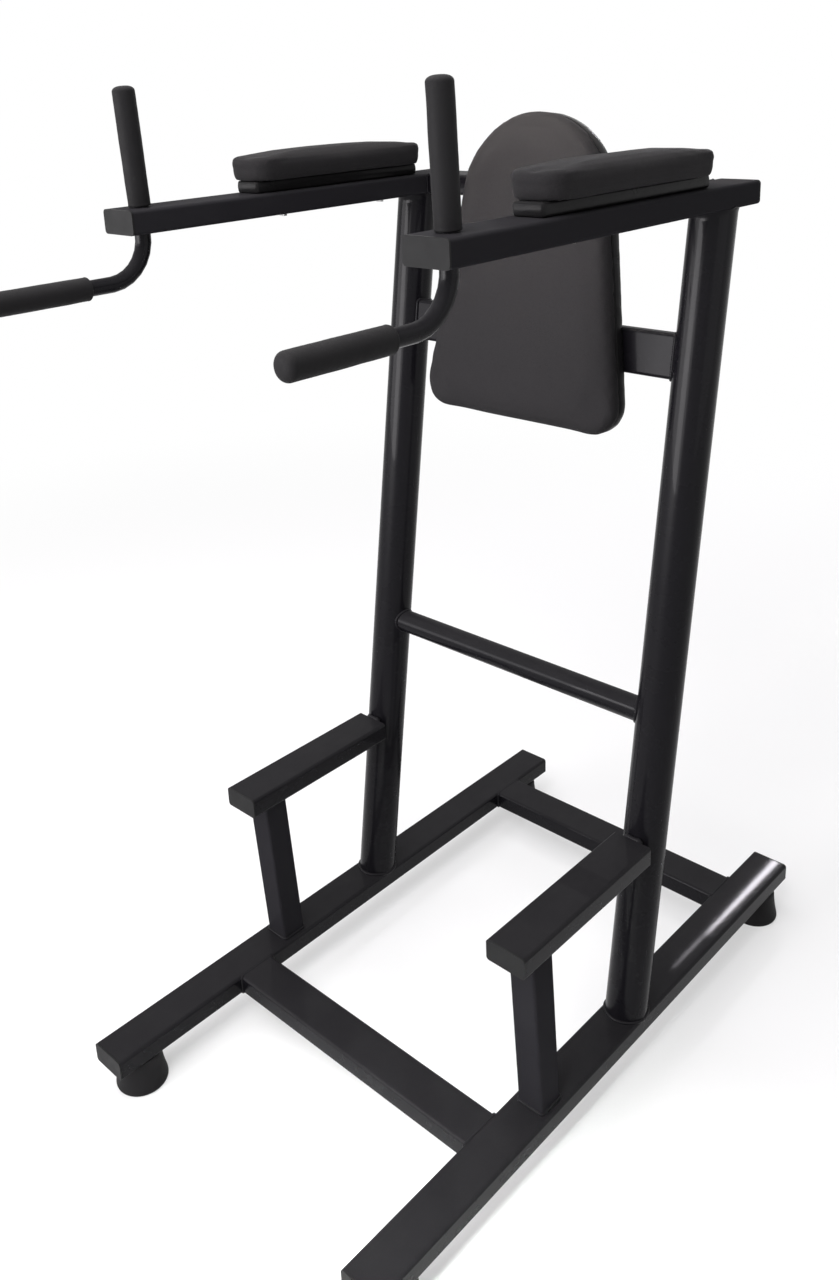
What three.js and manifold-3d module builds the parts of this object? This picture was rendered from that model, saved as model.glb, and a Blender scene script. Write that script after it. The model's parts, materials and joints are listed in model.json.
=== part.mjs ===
// Dip station: a welded steel frame with elbow pads, a back pad, two pairs of grips and two foot steps.
// Millimetres, +Z up. The front, where the dip handles point, is -Y. The origin lies on the floor
// under the middle of the station's length and width.

import * as THREE from 'three';
import { mergeVertices } from 'three/addons/utils/BufferGeometryUtils.js';
import Module from 'manifold-3d';

const wasm = await Module();
wasm.setup();

// Gaps and cutting
const weldGap = 0.3;
const fitGap = 0.3;
const cutOverrun = 10;
const mergeDistance = 0.0005;

// Facets
const cornerSteps = 3;
const pipeSteps = 18;
const thinPipeSteps = 9;
const turnedSteps = 24;
const footSteps = 28;
const boltSteps = 12;
const hexSides = 6;
const handleSteps = 20;
const domeSteps = 5;

// Rectangular frame tube of the rails, beams, arms, steps and pad bars
const tubeWidth = 76.2;
const tubeHeight = 38.1;
const tubeWall = 3;
const tubeCorner = 6;
const boreCornerShare = 0.5;

// Plastic caps in the open tube ends
const capFlange = 3;
const capPlugDepth = 14;
const capPlugWall = 2;

// Base
const railLength = 1246;
const railSpacing = 640;
const frontBeamSetback = 314;
const rearBeamSetback = 150;

// Rubber feet
const footHeight = 64;
const footBaseRadius = 48;
const footTopRadius = 39;
const footRounding = 6;
const footInset = 63;
const footRecessClearance = 2.5;
const footRecessDepth = 14;

// Bolts and nuts
const footBoltRadius = 5;
const padBoltRadius = 4;
const boltHoleClearance = 0.5;
const padBoltGripShare = 0.75;
const padBoltHoleSpare = 1;
const headWidthShare = 1.7;
const headHeightShare = 1.25;
const flangeRadiusShare = 2.15;
const flangeThicknessShare = 0.35;
const footBoltSpare = 3;
const nutWidthShare = 3.4;
const nutHeightShare = 1.6;

// Uprights and what joins them
const uprightDiameter = 76.2;
const uprightWall = 3;
const uprightSetback = 687;
const uprightLeanDegrees = 8.37;
const crossTubeHeight = 667.6;
const crossTubeDiameter = 44.5;
const crossTubeWall = 2.5;
const padBarDrop = 240;

// Arms
const armUnderside = 1525;
const armLength = 759;
const armRearOverhang = 79;

// Foot steps
const stepTop = 459;
const stepLength = 354;
const postWidth = 50.8;
const postWall = 3;
const postCorner = 5;
const postSetback = 63;
const postLeanDegrees = 3.6;

// Hand grips: a tube and a rubber sleeve
const gripTubeDiameter = 25.4;
const gripTubeWall = 2;
const gripInset = 42;
const gripHeight = 182;
const gripLeanDegrees = 2.4;
const gripSleeveDiameter = 35;
const gripSleeveLift = 4;
const gripDomeHeight = 7;
const sleeveEndWall = 6;
const sleeveMouthRounding = 2;
const handleNeck = 6.2;
const handleBendRadius = 67;
const handleReach = 277;
const handleSleeveDiameter = 37;
const handleSleeveLength = 168;
const handleDomeHeight = 6;

// Elbow pads
const elbowPadWidth = 90;
const elbowPadLength = 400;
const elbowPadThickness = 39;
const elbowPadCrown = 6;
const elbowPadCorner = 26;
const elbowPadShoulder = 13;
const elbowPadDraw = 1.5;
const elbowPadTuck = 3;
const elbowBoardWidth = 52;
const elbowBoardLength = 392;
const elbowBoardThickness = 20;
const elbowBoardCorner = 5;
const elbowBoltSpacing = 240;
const leftPadSetback = 453;
const rightPadSetback = 413;

// Back pad, measured along the lean from the middle of the pad bar
const backPadBelowBar = 147.6;
const backPadHeight = 534;
const backPadHalfWidth = 206;
const backPadCorner = 52;
const backPadDome = 137;
const backPadThickness = 34;
const backPadCrown = 6;
const backPadShoulder = 12;
const backPadTuck = 3;
const backBoardThickness = 20;
const backBoardInset = 1;
const backBoltSpacing = 220;
const backBoltRise = 36;

// How the cushions are divided into rings: shares of the way from the shoulder to the middle
const crownRingShares = [0.8, 0.55, 0.28];
const tuckHeightShare = 0.3;
const shoulderTurnShares = [0, 0.5, 1];
const cushionCornerSteps = 6;
const cushionDomeSteps = 16;
const cushionSideSteps = 4;

// Places that follow from the sizes above
const lean = THREE.MathUtils.degToRad(uprightLeanDegrees);
const leanSlope = Math.tan(lean);
const railTop = footHeight + tubeHeight;
const railMiddle = footHeight + tubeHeight / 2;
const railFront = -uprightSetback;
const railRear = railFront + railLength;
const sideX = railSpacing / 2;
const armTop = armUnderside + tubeHeight;
const armRear = uprightPlace(armUnderside) + armRearOverhang;
const armFront = armRear - armLength;
const padBarPlace = upLean(armUnderside - padBarDrop);
const backPadStart = padBarPlace - backPadBelowBar;
const stepUnderside = stepTop - tubeHeight;
const stepRear = uprightFront(stepUnderside) - weldGap;
const stepFront = stepRear - stepLength;
const gripPlace = armFront + gripInset;
const handleHeight = armUnderside - weldGap - handleNeck - handleBendRadius;
const handleTip = gripPlace - handleReach;
const stationFront = Math.min(railFront, armFront, handleTip);
const stationRear = Math.max(railRear, armRear);

const sides = [
  { name: 'left', sign: -1, padSetback: leftPadSetback },
  { name: 'right', sign: 1, padSetback: rightPadSetback },
];

// Finishes
const finish = (name, color, roughness, metalness) =>
  new THREE.MeshStandardMaterial({ name, color, roughness, metalness });
const finishes = {
  paint: finish('black_paint', 0x19191b, 0.3, 0.4),
  plastic: finish('cap_plastic', 0x141415, 0.55, 0),
  rubber: finish('rubber', 0x1b1b1c, 0.85, 0),
  vinyl: finish('black_vinyl', 0x222224, 0.5, 0),
  board: finish('covered_board', 0x232325, 0.6, 0),
  zinc: finish('zinc_steel', 0x9c9ea2, 0.35, 0.9),
};

// Where an upright's middle line, and its front, lie at a height, and how far up the lean that is
function uprightPlace(height) {
  return leanSlope * (height - railTop);
}

function upLean(height) {
  return (height - railTop) / Math.cos(lean);
}

function uprightFront(height) {
  return uprightPlace(height) - uprightDiameter / 2 / Math.cos(lean);
}

// Solids for joining and cutting
function solidOf(geometry) {
  const bare = new THREE.BufferGeometry();
  bare.setAttribute('position', geometry.attributes.position);
  bare.setIndex(geometry.index);
  const merged = mergeVertices(bare, mergeDistance);
  return new wasm.Manifold(new wasm.Mesh({
    numProp: 3,
    vertProperties: new Float32Array(merged.attributes.position.array),
    triVerts: new Uint32Array(merged.index.array),
  }));
}

function geometryOf(solid) {
  const { vertProperties, triVerts } = solid.getMesh();
  const geometry = new THREE.BufferGeometry();
  geometry.setAttribute('position', new THREE.BufferAttribute(vertProperties, 3));
  geometry.setIndex(new THREE.BufferAttribute(triVerts, 1));
  geometry.computeVertexNormals();
  return geometry;
}

function cut(geometry, tools) {
  return geometryOf(tools.reduce((solid, tool) => solid.subtract(solidOf(tool)), solidOf(geometry)));
}

function join(first, second) {
  return geometryOf(solidOf(first).add(solidOf(second)));
}

// Flat shapes
function roundedRectangle(width, height, radius) {
  const right = width / 2 - radius;
  const top = height / 2 - radius;
  const quarter = Math.PI / 2;
  const shape = new THREE.Shape();
  [[right, top], [-right, top], [-right, -top], [right, -top]].forEach(([x, y], turn) => {
    shape.absarc(x, y, radius, turn * quarter, (turn + 1) * quarter);
  });
  shape.closePath();
  return shape;
}

function hollowRectangle(width, height, wall, corner) {
  const shape = roundedRectangle(width, height, corner);
  const bore = roundedRectangle(width - 2 * wall, height - 2 * wall, corner * boreCornerShare);
  shape.holes.push(bore);
  return shape;
}

function disc(radius) {
  return new THREE.Shape().absarc(0, 0, radius, 0, 2 * Math.PI);
}

function ring(diameter, wall) {
  const shape = disc(diameter / 2);
  shape.holes.push(disc(diameter / 2 - wall));
  return shape;
}

// Straight bars, centred on their length
function bar(shape, length, steps = cornerSteps) {
  const geometry = new THREE.ExtrudeGeometry(shape, {
    depth: length,
    bevelEnabled: false,
    curveSegments: steps,
  });
  return geometry.translate(0, 0, -length / 2);
}

function barAlongY(shape, length, steps) {
  return bar(shape, length, steps).rotateX(Math.PI / 2);
}

function barAlongX(shape, length, steps) {
  return bar(shape, length, steps).rotateX(Math.PI / 2).rotateZ(Math.PI / 2);
}

// A leaning column with level ends, true in section across its own length
function leaningColumn(shape, bottom, top, slope, steps) {
  const squareness = Math.cos(Math.atan(slope));
  const column = bar(shape, top - bottom, steps);
  column.translate(0, 0, (top - bottom) / 2);
  column.scale(1, 1 / squareness, 1);
  column.applyMatrix4(new THREE.Matrix4().makeShear(0, 0, 0, 0, 0, slope));
  return column;
}

// Cutting tools
function drill(radius, depth, x, y, z) {
  return bar(disc(radius), depth, boltSteps / 2).translate(x, y, z);
}

function drillAlongY(radius, depth, x, y, z) {
  return barAlongY(disc(radius), depth, boltSteps / 2).translate(x, y, z);
}

// A flange bolt with its seat at zero, its shank up +Z and its hexagon head below
function flangeBolt(radius, shankLength) {
  const flange = radius * flangeThicknessShare;
  const head = radius * headHeightShare;
  const flangeRadius = radius * flangeRadiusShare;
  const shank = new THREE.LatheGeometry([
    new THREE.Vector2(0, shankLength),
    new THREE.Vector2(radius, shankLength),
    new THREE.Vector2(radius, 0),
    new THREE.Vector2(flangeRadius, 0),
    new THREE.Vector2(flangeRadius, -flange),
    new THREE.Vector2(0, -flange),
  ].reverse(), boltSteps);
  const hexagon = new THREE.CylinderGeometry(
    radius * headWidthShare, radius * headWidthShare, head + flange / 2, hexSides);
  hexagon.translate(0, -flange / 2 - (head + flange / 2) / 2, 0);
  return join(shank, hexagon).rotateX(Math.PI / 2);
}

function hexNut(width, height, boreRadius) {
  const outside = new THREE.CylinderGeometry(width / 2, width / 2, height, hexSides);
  outside.scale(1 / Math.cos(Math.PI / hexSides), 1, 1 / Math.cos(Math.PI / hexSides));
  return cut(outside.rotateX(Math.PI / 2), [drill(boreRadius, height + cutOverrun, 0, 0, 0)]);
}

// A plastic cap: a flange against the tube's end and a hollow plug up +Z into its bore
function tubeCap() {
  const plugWidth = tubeWidth - 2 * tubeWall - 2 * fitGap;
  const plugHeight = tubeHeight - 2 * tubeWall - 2 * fitGap;
  const plugLength = capPlugDepth + capFlange / 2;
  const flange = bar(roundedRectangle(tubeWidth, tubeHeight, tubeCorner), capFlange);
  const plugShape = hollowRectangle(plugWidth, plugHeight, capPlugWall, tubeCorner * boreCornerShare);
  const plug = bar(plugShape, plugLength).translate(0, 0, plugLength / 2);
  return join(flange, plug).translate(0, 0, -capFlange / 2 - weldGap);
}

// A rubber sleeve with a domed closed end, its mouth at zero and its dome up +Y
function sleeve(diameter, length, domeHeight, boreLength) {
  const radius = diameter / 2;
  const boreRadius = gripTubeDiameter / 2 + fitGap;
  const profile = [
    new THREE.Vector2(0, boreLength),
    new THREE.Vector2(boreRadius, boreLength),
    new THREE.Vector2(boreRadius, 0),
    new THREE.Vector2(radius - sleeveMouthRounding, 0),
    new THREE.Vector2(radius, sleeveMouthRounding),
  ];
  for (let step = 0; step < domeSteps; step += 1) {
    const turn = (Math.PI / 2) * (step / domeSteps);
    const height = length - domeHeight + domeHeight * Math.sin(turn);
    profile.push(new THREE.Vector2(radius * Math.cos(turn), height));
  }
  profile.push(new THREE.Vector2(0, length));
  return new THREE.LatheGeometry(profile, turnedSteps);
}

// A rubber foot, wider at the floor, bored for its bolt and recessed for the bolt's head
function rubberFoot() {
  const top = footHeight - weldGap;
  const boreRadius = footBoltRadius + boltHoleClearance;
  const recessRadius = footBoltRadius * flangeRadiusShare + footRecessClearance;
  const profile = [
    new THREE.Vector2(recessRadius, 0),
    new THREE.Vector2(footBaseRadius - footRounding, 0),
    new THREE.Vector2(footBaseRadius, footRounding),
    new THREE.Vector2(footBaseRadius, 2 * footRounding),
    new THREE.Vector2(footTopRadius, top - footRounding),
    new THREE.Vector2(footTopRadius - footRounding / 2, top),
    new THREE.Vector2(boreRadius, top),
    new THREE.Vector2(boreRadius, footRecessDepth),
    new THREE.Vector2(recessRadius, footRecessDepth),
    new THREE.Vector2(recessRadius, 0),
  ];
  return new THREE.LatheGeometry(profile, footSteps).rotateX(Math.PI / 2);
}

// The dip handle's middle line: down from the arm, round the bend and forward
class HandleRoute extends THREE.Curve {
  constructor() {
    super();
    this.bend = handleBendRadius * Math.PI / 2;
    this.run = handleReach - handleBendRadius - sleeveEndWall - handleDomeHeight / 2;
    this.length = handleNeck + this.bend + this.run;
  }

  getPoint(share, target = new THREE.Vector3()) {
    const travelled = share * this.length;
    const turned = THREE.MathUtils.clamp(travelled - handleNeck, 0, this.bend) / handleBendRadius;
    const dropped = Math.min(travelled, handleNeck);
    const run = Math.max(travelled - handleNeck - this.bend, 0);
    const forward = handleBendRadius * (1 - Math.cos(turned)) + run;
    const down = weldGap + dropped + handleBendRadius * Math.sin(turned);
    return target.set(0, -forward, -down);
  }
}

function handleTube() {
  return new THREE.ExtrudeGeometry(ring(gripTubeDiameter, gripTubeWall), {
    extrudePath: new HandleRoute(),
    steps: handleSteps,
    curveSegments: thinPipeSteps,
    bevelEnabled: false,
  });
}

// Points of an arc, both ends included
function arcPoints(x, y, radius, start, end, steps) {
  return Array.from({ length: steps + 1 }, (unused, step) => {
    const turn = start + (end - start) * (step / steps);
    return new THREE.Vector2(x + radius * Math.cos(turn), y + radius * Math.sin(turn));
  });
}

// Points between two points, both ends left out
function between(from, to, steps) {
  return Array.from({ length: steps - 1 }, (unused, step) =>
    new THREE.Vector2().lerpVectors(from, to, (step + 1) / steps));
}

// Arcs joined by divided straight runs, as one closed outline
function outlineOf(arcs) {
  return arcs.flatMap((arc, index) => {
    const next = arcs[(index + 1) % arcs.length];
    return [...arc, ...between(arc[arc.length - 1], next[0], cushionSideSteps)];
  });
}

// The elbow pad's outline, seen from above, drawn in along its sides
function elbowOutline(inset) {
  const x = elbowPadWidth / 2 - elbowPadCorner;
  const y = elbowPadLength / 2 - elbowPadCorner;
  const quarter = Math.PI / 2;
  const arcs = [[x, y], [-x, y], [-x, -y], [x, -y]].map(([centreX, centreY], turn) => arcPoints(
    centreX, centreY, elbowPadCorner - inset, turn * quarter, (turn + 1) * quarter, cushionCornerSteps));
  return outlineOf(arcs).map((point) => {
    const draw = elbowPadDraw * Math.max(0, 1 - (point.y / y) ** 2);
    return point.setX(point.x - Math.sign(point.x) * draw);
  });
}

// The back pad's outline, seen from the front: a dome over tapered sides and rounded lower corners
function backOutline(inset) {
  const cornerX = backPadHalfWidth - backPadCorner;
  const domeY = backPadHeight - backPadDome;
  const distance = Math.hypot(cornerX, domeY - backPadCorner);
  const turn = Math.atan2(cornerX, domeY - backPadCorner)
    - Math.asin((backPadDome - backPadCorner) / distance);
  const cornerRadius = backPadCorner - inset;
  return outlineOf([
    arcPoints(cornerX, backPadCorner, cornerRadius, -Math.PI / 2, turn, cushionCornerSteps),
    arcPoints(0, domeY, backPadDome - inset, turn, Math.PI - turn, cushionDomeSteps),
    arcPoints(-cornerX, backPadCorner, cornerRadius, Math.PI - turn, Math.PI * 3 / 2, cushionCornerSteps),
  ]);
}

// A cushion: rings up its side and over its shoulder, then in and up over its crown
function cushion(outline, thickness, crown, shoulder, tuck) {
  const base = outline(tuck);
  const middle = new THREE.Box2().setFromPoints(base).getCenter(new THREE.Vector2());
  const rings = [
    { points: base, height: 0 },
    { points: outline(0), height: thickness * tuckHeightShare },
  ];
  shoulderTurnShares.forEach((share) => {
    const turn = share * Math.PI / 2;
    const height = thickness - shoulder * (1 - Math.sin(turn));
    rings.push({ points: outline(shoulder * (1 - Math.cos(turn))), height });
  });
  const edge = outline(shoulder);
  crownRingShares.forEach((share) => {
    const points = edge.map((point) => new THREE.Vector2().lerpVectors(middle, point, share));
    rings.push({ points, height: thickness + crown * (1 - share ** 2) });
  });
  const positions = [middle.x, middle.y, 0];
  rings.forEach(({ points, height }) => points.forEach(({ x, y }) => positions.push(x, y, height)));
  positions.push(middle.x, middle.y, thickness + crown);
  const count = base.length;
  const lastCentre = 1 + rings.length * count;
  const index = [];
  for (let corner = 0; corner < count; corner += 1) {
    const next = (corner + 1) % count;
    index.push(0, 1 + next, 1 + corner);
    for (let level = 0; level < rings.length - 1; level += 1) {
      const low = 1 + level * count;
      const high = low + count;
      index.push(low + corner, low + next, high + next, low + corner, high + next, high + corner);
    }
    const top = lastCentre - count;
    index.push(top + corner, top + next, lastCentre);
  }
  const geometry = new THREE.BufferGeometry();
  geometry.setAttribute('position', new THREE.Float32BufferAttribute(positions, 3));
  geometry.setIndex(index);
  geometry.computeVertexNormals();
  return geometry;
}

// The station, and the leaning frame of its uprights, whose origin is between their feet
const station = new THREE.Group();
station.position.y = -(stationFront + stationRear) / 2;
const leaningFrame = new THREE.Group();
leaningFrame.position.z = railTop;
leaningFrame.rotation.x = -lean;
station.add(leaningFrame);

function place(name, geometry, material, x, y, z, parent = station) {
  const mesh = new THREE.Mesh(geometry, material);
  mesh.name = name;
  mesh.position.set(x, y, z);
  parent.add(mesh);
  return mesh;
}

// Base rails, with holes for the foot bolts, and the caps, feet, bolts and nuts at their ends
const frameTube = hollowRectangle(tubeWidth, tubeHeight, tubeWall, tubeCorner);
const edgeTube = hollowRectangle(tubeHeight, tubeWidth, tubeWall, tubeCorner);
const capRoom = capFlange + weldGap;
const footPlaces = { front: railFront + footInset, rear: railRear - footInset };

function baseRail() {
  const middle = (railFront + railRear) / 2;
  const holes = Object.values(footPlaces).map((y) => drill(
    footBoltRadius + boltHoleClearance, tubeHeight, 0, y - middle, -tubeHeight / 2));
  return cut(barAlongY(frameTube, railLength - 2 * capRoom), holes);
}

function addFoot(side, end, y) {
  const name = `${side.name}_${end}`;
  const x = side.sign * sideX;
  const seat = footRecessDepth - weldGap;
  const nutSeat = footHeight + tubeWall + weldGap;
  const nutWidth = footBoltRadius * nutWidthShare;
  const nutHeight = footBoltRadius * nutHeightShare;
  const boltLength = nutSeat + nutHeight + footBoltSpare - seat;
  place(`${name}_foot`, rubberFoot(), finishes.rubber, x, y, 0);
  place(`${name}_foot_bolt`, flangeBolt(footBoltRadius, boltLength), finishes.zinc, x, y, seat);
  const nut = hexNut(nutWidth, nutHeight, footBoltRadius + fitGap);
  place(`${name}_foot_nut`, nut, finishes.zinc, x, y, nutSeat + nutHeight / 2);
}

function addCap(name, x, endY, z, facing) {
  const cap = place(name, tubeCap(), finishes.plastic, x, endY - facing * capRoom, z);
  cap.rotation.x = facing * Math.PI / 2;
}

// Foot steps: a platform from the upright forward, on a post that leans
function addStep(side) {
  const x = side.sign * sideX;
  const tubeLength = stepLength - capRoom;
  const platform = barAlongY(frameTube, tubeLength);
  const y = stepRear - tubeLength / 2;
  const z = stepTop - tubeHeight / 2;
  place(`${side.name}_step_platform`, platform, finishes.paint, x, y, z);
  addCap(`${side.name}_step_front_cap`, x, stepFront, z, -1);
  const slope = -Math.tan(THREE.MathUtils.degToRad(postLeanDegrees));
  const bottom = railTop + weldGap;
  const top = stepUnderside - weldGap;
  const shape = hollowRectangle(postWidth, postWidth, postWall, postCorner);
  const footPlace = stepFront + postSetback - slope * (top - bottom);
  const post = leaningColumn(shape, bottom, top, slope, cornerSteps);
  place(`${side.name}_step_post`, post, finishes.paint, x, footPlace, bottom);
}

// Arms on the uprights, holed for the elbow pad bolts
const elbowBoltPlaces = [-elbowBoltSpacing / 2, elbowBoltSpacing / 2];

function addArm(side) {
  const x = side.sign * sideX;
  const middle = (armFront + armRear) / 2;
  const padMiddle = armFront + side.padSetback;
  const holes = elbowBoltPlaces.map((y) => drill(
    padBoltRadius + boltHoleClearance, tubeHeight + cutOverrun, 0, padMiddle + y - middle, 0));
  const tube = cut(barAlongY(frameTube, armLength - 2 * capRoom), holes);
  place(`${side.name}_arm`, tube, finishes.paint, x, middle, armUnderside + tubeHeight / 2);
  addCap(`${side.name}_arm_front_cap`, x, armFront, armUnderside + tubeHeight / 2, -1);
  addCap(`${side.name}_arm_rear_cap`, x, armRear, armUnderside + tubeHeight / 2, 1);
}

function addElbowPad(side) {
  const x = side.sign * sideX;
  const y = armFront + side.padSetback;
  const boardBottom = armTop + weldGap;
  const boltGrip = elbowBoardThickness * padBoltGripShare;
  const holeDepth = 2 * (boltGrip + padBoltHoleSpare);
  const holes = elbowBoltPlaces.map((place) => drill(
    padBoltRadius + fitGap, holeDepth, 0, place, -elbowBoardThickness / 2));
  const boardShape = roundedRectangle(elbowBoardWidth, elbowBoardLength, elbowBoardCorner);
  const board = cut(bar(boardShape, elbowBoardThickness), holes);
  place(`${side.name}_elbow_pad_board`, board, finishes.board, x, y, boardBottom + elbowBoardThickness / 2);
  const pad = cushion(elbowOutline, elbowPadThickness, elbowPadCrown, elbowPadShoulder, elbowPadTuck);
  const padBottom = boardBottom + elbowBoardThickness + weldGap;
  place(`${side.name}_elbow_pad_cushion`, pad, finishes.vinyl, x, y, padBottom);
  ['front', 'rear'].forEach((end, index) => {
    const seat = armUnderside - weldGap;
    const bolt = flangeBolt(padBoltRadius, boardBottom + boltGrip - seat);
    place(`${side.name}_elbow_pad_${end}_bolt`, bolt, finishes.zinc, x, y + elbowBoltPlaces[index], seat);
  });
}

// Upright grips and dip handles
function addGrips(side) {
  const x = side.sign * sideX;
  const gripLean = THREE.MathUtils.degToRad(gripLeanDegrees);
  const tubeTop = gripHeight - gripDomeHeight - sleeveEndWall;
  const tube = leaningColumn(
    ring(gripTubeDiameter, gripTubeWall), weldGap, tubeTop, -Math.tan(gripLean), thinPipeSteps);
  place(`${side.name}_upright_grip_tube`, tube, finishes.paint, x, gripPlace, armTop + weldGap);
  const sleeveLength = gripHeight / Math.cos(gripLean) - gripSleeveLift;
  const boreLength = sleeveLength - gripDomeHeight - sleeveEndWall / 2;
  const grip = sleeve(gripSleeveDiameter, sleeveLength, gripDomeHeight, boreLength).rotateX(Math.PI / 2);
  grip.translate(0, 0, gripSleeveLift).rotateX(gripLean);
  place(`${side.name}_upright_grip_sleeve`, grip, finishes.rubber, x, gripPlace, armTop);
  place(`${side.name}_dip_handle_tube`, handleTube(), finishes.paint, x, gripPlace, armUnderside);
  const handleBore = handleSleeveLength - handleDomeHeight / 2 - sleeveEndWall / 2;
  const handleGrip = sleeve(handleSleeveDiameter, handleSleeveLength, handleDomeHeight, handleBore);
  handleGrip.rotateX(Math.PI);
  const sleeveMouth = handleTip + handleSleeveLength;
  place(`${side.name}_dip_handle_sleeve`, handleGrip, finishes.rubber, x, sleeveMouth, handleHeight);
}

sides.forEach((side) => {
  const x = side.sign * sideX;
  place(`${side.name}_base_rail`, baseRail(), finishes.paint, x, (railFront + railRear) / 2, railMiddle);
  addCap(`${side.name}_rail_front_cap`, x, railFront, railMiddle, -1);
  addCap(`${side.name}_rail_rear_cap`, x, railRear, railMiddle, 1);
  Object.entries(footPlaces).forEach(([end, y]) => addFoot(side, end, y));
  const pipe = ring(uprightDiameter, uprightWall);
  const bottom = railTop + weldGap;
  const upright = leaningColumn(pipe, bottom, armUnderside - weldGap, leanSlope, pipeSteps);
  place(`${side.name}_upright`, upright, finishes.paint, x, uprightPlace(bottom), bottom);
  addStep(side);
  addArm(side);
  addElbowPad(side);
  addGrips(side);
});

// Cross beams between the rails, and the upper bar between the arms behind the back pad
const beamLength = railSpacing - tubeWidth - 2 * weldGap;
const frontBeamPlace = railFront + frontBeamSetback;
const rearBeamPlace = railRear - rearBeamSetback;
place('front_cross_beam', barAlongX(frameTube, beamLength), finishes.paint, 0, frontBeamPlace, railMiddle);
place('rear_cross_beam', barAlongX(frameTube, beamLength), finishes.paint, 0, rearBeamPlace, railMiddle);
const upperBarFront = uprightPlace(armTop) - tubeHeight / 2 / Math.cos(lean);
const upperBarPlace = upperBarFront + tubeWidth / 2;
const upperBar = barAlongX(frameTube, beamLength);
place('upper_cross_bar', upperBar, finishes.paint, 0, upperBarPlace, armUnderside + tubeHeight / 2);

// Between the uprights: the round cross tube and the pad bar, their ends shaped round the uprights
const uprightTools = sides.map(({ sign }) => bar(
  disc(uprightDiameter / 2 + weldGap), railSpacing, pipeSteps).translate(sign * sideX, 0, 0));
const crossTube = cut(
  barAlongX(ring(crossTubeDiameter, crossTubeWall), railSpacing, thinPipeSteps), uprightTools);
place('round_cross_tube', crossTube, finishes.paint, 0, 0, upLean(crossTubeHeight), leaningFrame);
const backBoltPlaces = [-1, 1].flatMap((across) => [-1, 1].map((up) => ({
  x: across * backBoltSpacing / 2,
  rise: up * backBoltRise / 2,
  name: `${up < 0 ? 'lower' : 'upper'}_${across < 0 ? 'left' : 'right'}`,
})));
const padBarTools = backBoltPlaces.map(({ x, rise }) => drillAlongY(
  padBoltRadius + boltHoleClearance, tubeHeight + cutOverrun, x, 0, rise));
const padBar = cut(barAlongX(edgeTube, railSpacing), [...uprightTools, ...padBarTools]);
place('pad_bar', padBar, finishes.paint, 0, 0, padBarPlace, leaningFrame);

// Back pad: a board on the pad bar and a domed cushion on the board
const padBarFace = tubeHeight / 2 + weldGap;
const boardShape = new THREE.Shape(backOutline(backBoardInset));
const boardFront = padBarFace + backBoardThickness;
const boardBoltGrip = backBoardThickness * padBoltGripShare;
const boardHoleDepth = 2 * (boardBoltGrip + padBoltHoleSpare);
const boardHoles = backBoltPlaces.map(({ x, rise }) => drill(
  padBoltRadius + fitGap, boardHoleDepth, x, backPadBelowBar + rise, -backBoardThickness / 2));
const backBoard = cut(bar(boardShape, backBoardThickness), boardHoles).rotateX(Math.PI / 2);
const boardMiddle = -(padBarFace + boardFront) / 2;
place('back_pad_board', backBoard, finishes.board, 0, boardMiddle, backPadStart, leaningFrame);
const backCushion = cushion(backOutline, backPadThickness, backPadCrown, backPadShoulder, backPadTuck);
backCushion.rotateX(Math.PI / 2);
const cushionBack = -boardFront - weldGap;
place('back_pad_cushion', backCushion, finishes.vinyl, 0, cushionBack, backPadStart, leaningFrame);
const backBoltLength = 2 * padBarFace + boardBoltGrip;
backBoltPlaces.forEach(({ name, x, rise }) => {
  const bolt = flangeBolt(padBoltRadius, backBoltLength).rotateX(Math.PI / 2);
  place(`back_pad_${name}_bolt`, bolt, finishes.zinc, x, padBarFace, padBarPlace + rise, leaningFrame);
});

export default station;
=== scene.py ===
import json
import math

import bmesh
import bpy
import numpy as np
from mathutils import Matrix, Vector

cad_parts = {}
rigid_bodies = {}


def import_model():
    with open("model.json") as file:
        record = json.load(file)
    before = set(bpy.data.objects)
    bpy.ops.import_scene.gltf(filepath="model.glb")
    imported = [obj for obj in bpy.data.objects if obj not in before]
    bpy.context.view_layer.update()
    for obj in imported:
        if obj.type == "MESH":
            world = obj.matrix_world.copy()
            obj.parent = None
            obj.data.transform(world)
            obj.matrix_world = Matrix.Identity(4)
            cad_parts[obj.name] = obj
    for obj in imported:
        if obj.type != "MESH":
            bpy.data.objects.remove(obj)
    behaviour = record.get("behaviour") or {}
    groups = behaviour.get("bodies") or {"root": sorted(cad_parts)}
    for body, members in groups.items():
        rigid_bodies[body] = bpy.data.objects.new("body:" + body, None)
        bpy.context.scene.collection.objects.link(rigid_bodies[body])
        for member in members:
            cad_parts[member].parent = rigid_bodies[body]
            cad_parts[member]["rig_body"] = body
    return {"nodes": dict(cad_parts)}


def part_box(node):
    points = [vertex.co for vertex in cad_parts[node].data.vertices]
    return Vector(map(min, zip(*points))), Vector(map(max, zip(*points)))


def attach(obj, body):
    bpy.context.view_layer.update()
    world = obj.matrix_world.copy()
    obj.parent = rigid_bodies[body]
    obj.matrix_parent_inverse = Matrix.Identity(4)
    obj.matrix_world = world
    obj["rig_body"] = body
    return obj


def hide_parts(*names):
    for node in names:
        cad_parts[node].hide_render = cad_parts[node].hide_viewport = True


# A dip station: a welded steel frame in black paint, with sewn pads, rubber grips and rubber feet.
# Metres, +Z up, the front towards -Y.
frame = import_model()
scene = bpy.context.scene
for thing in [o for o in bpy.data.objects if "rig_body" not in o and o.type != "EMPTY"]:
    bpy.data.objects.remove(thing)
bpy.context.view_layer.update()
scene.view_settings.view_transform = "Standard"
sides = {"left": -1, "right": 1}


# Camera and light

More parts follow.
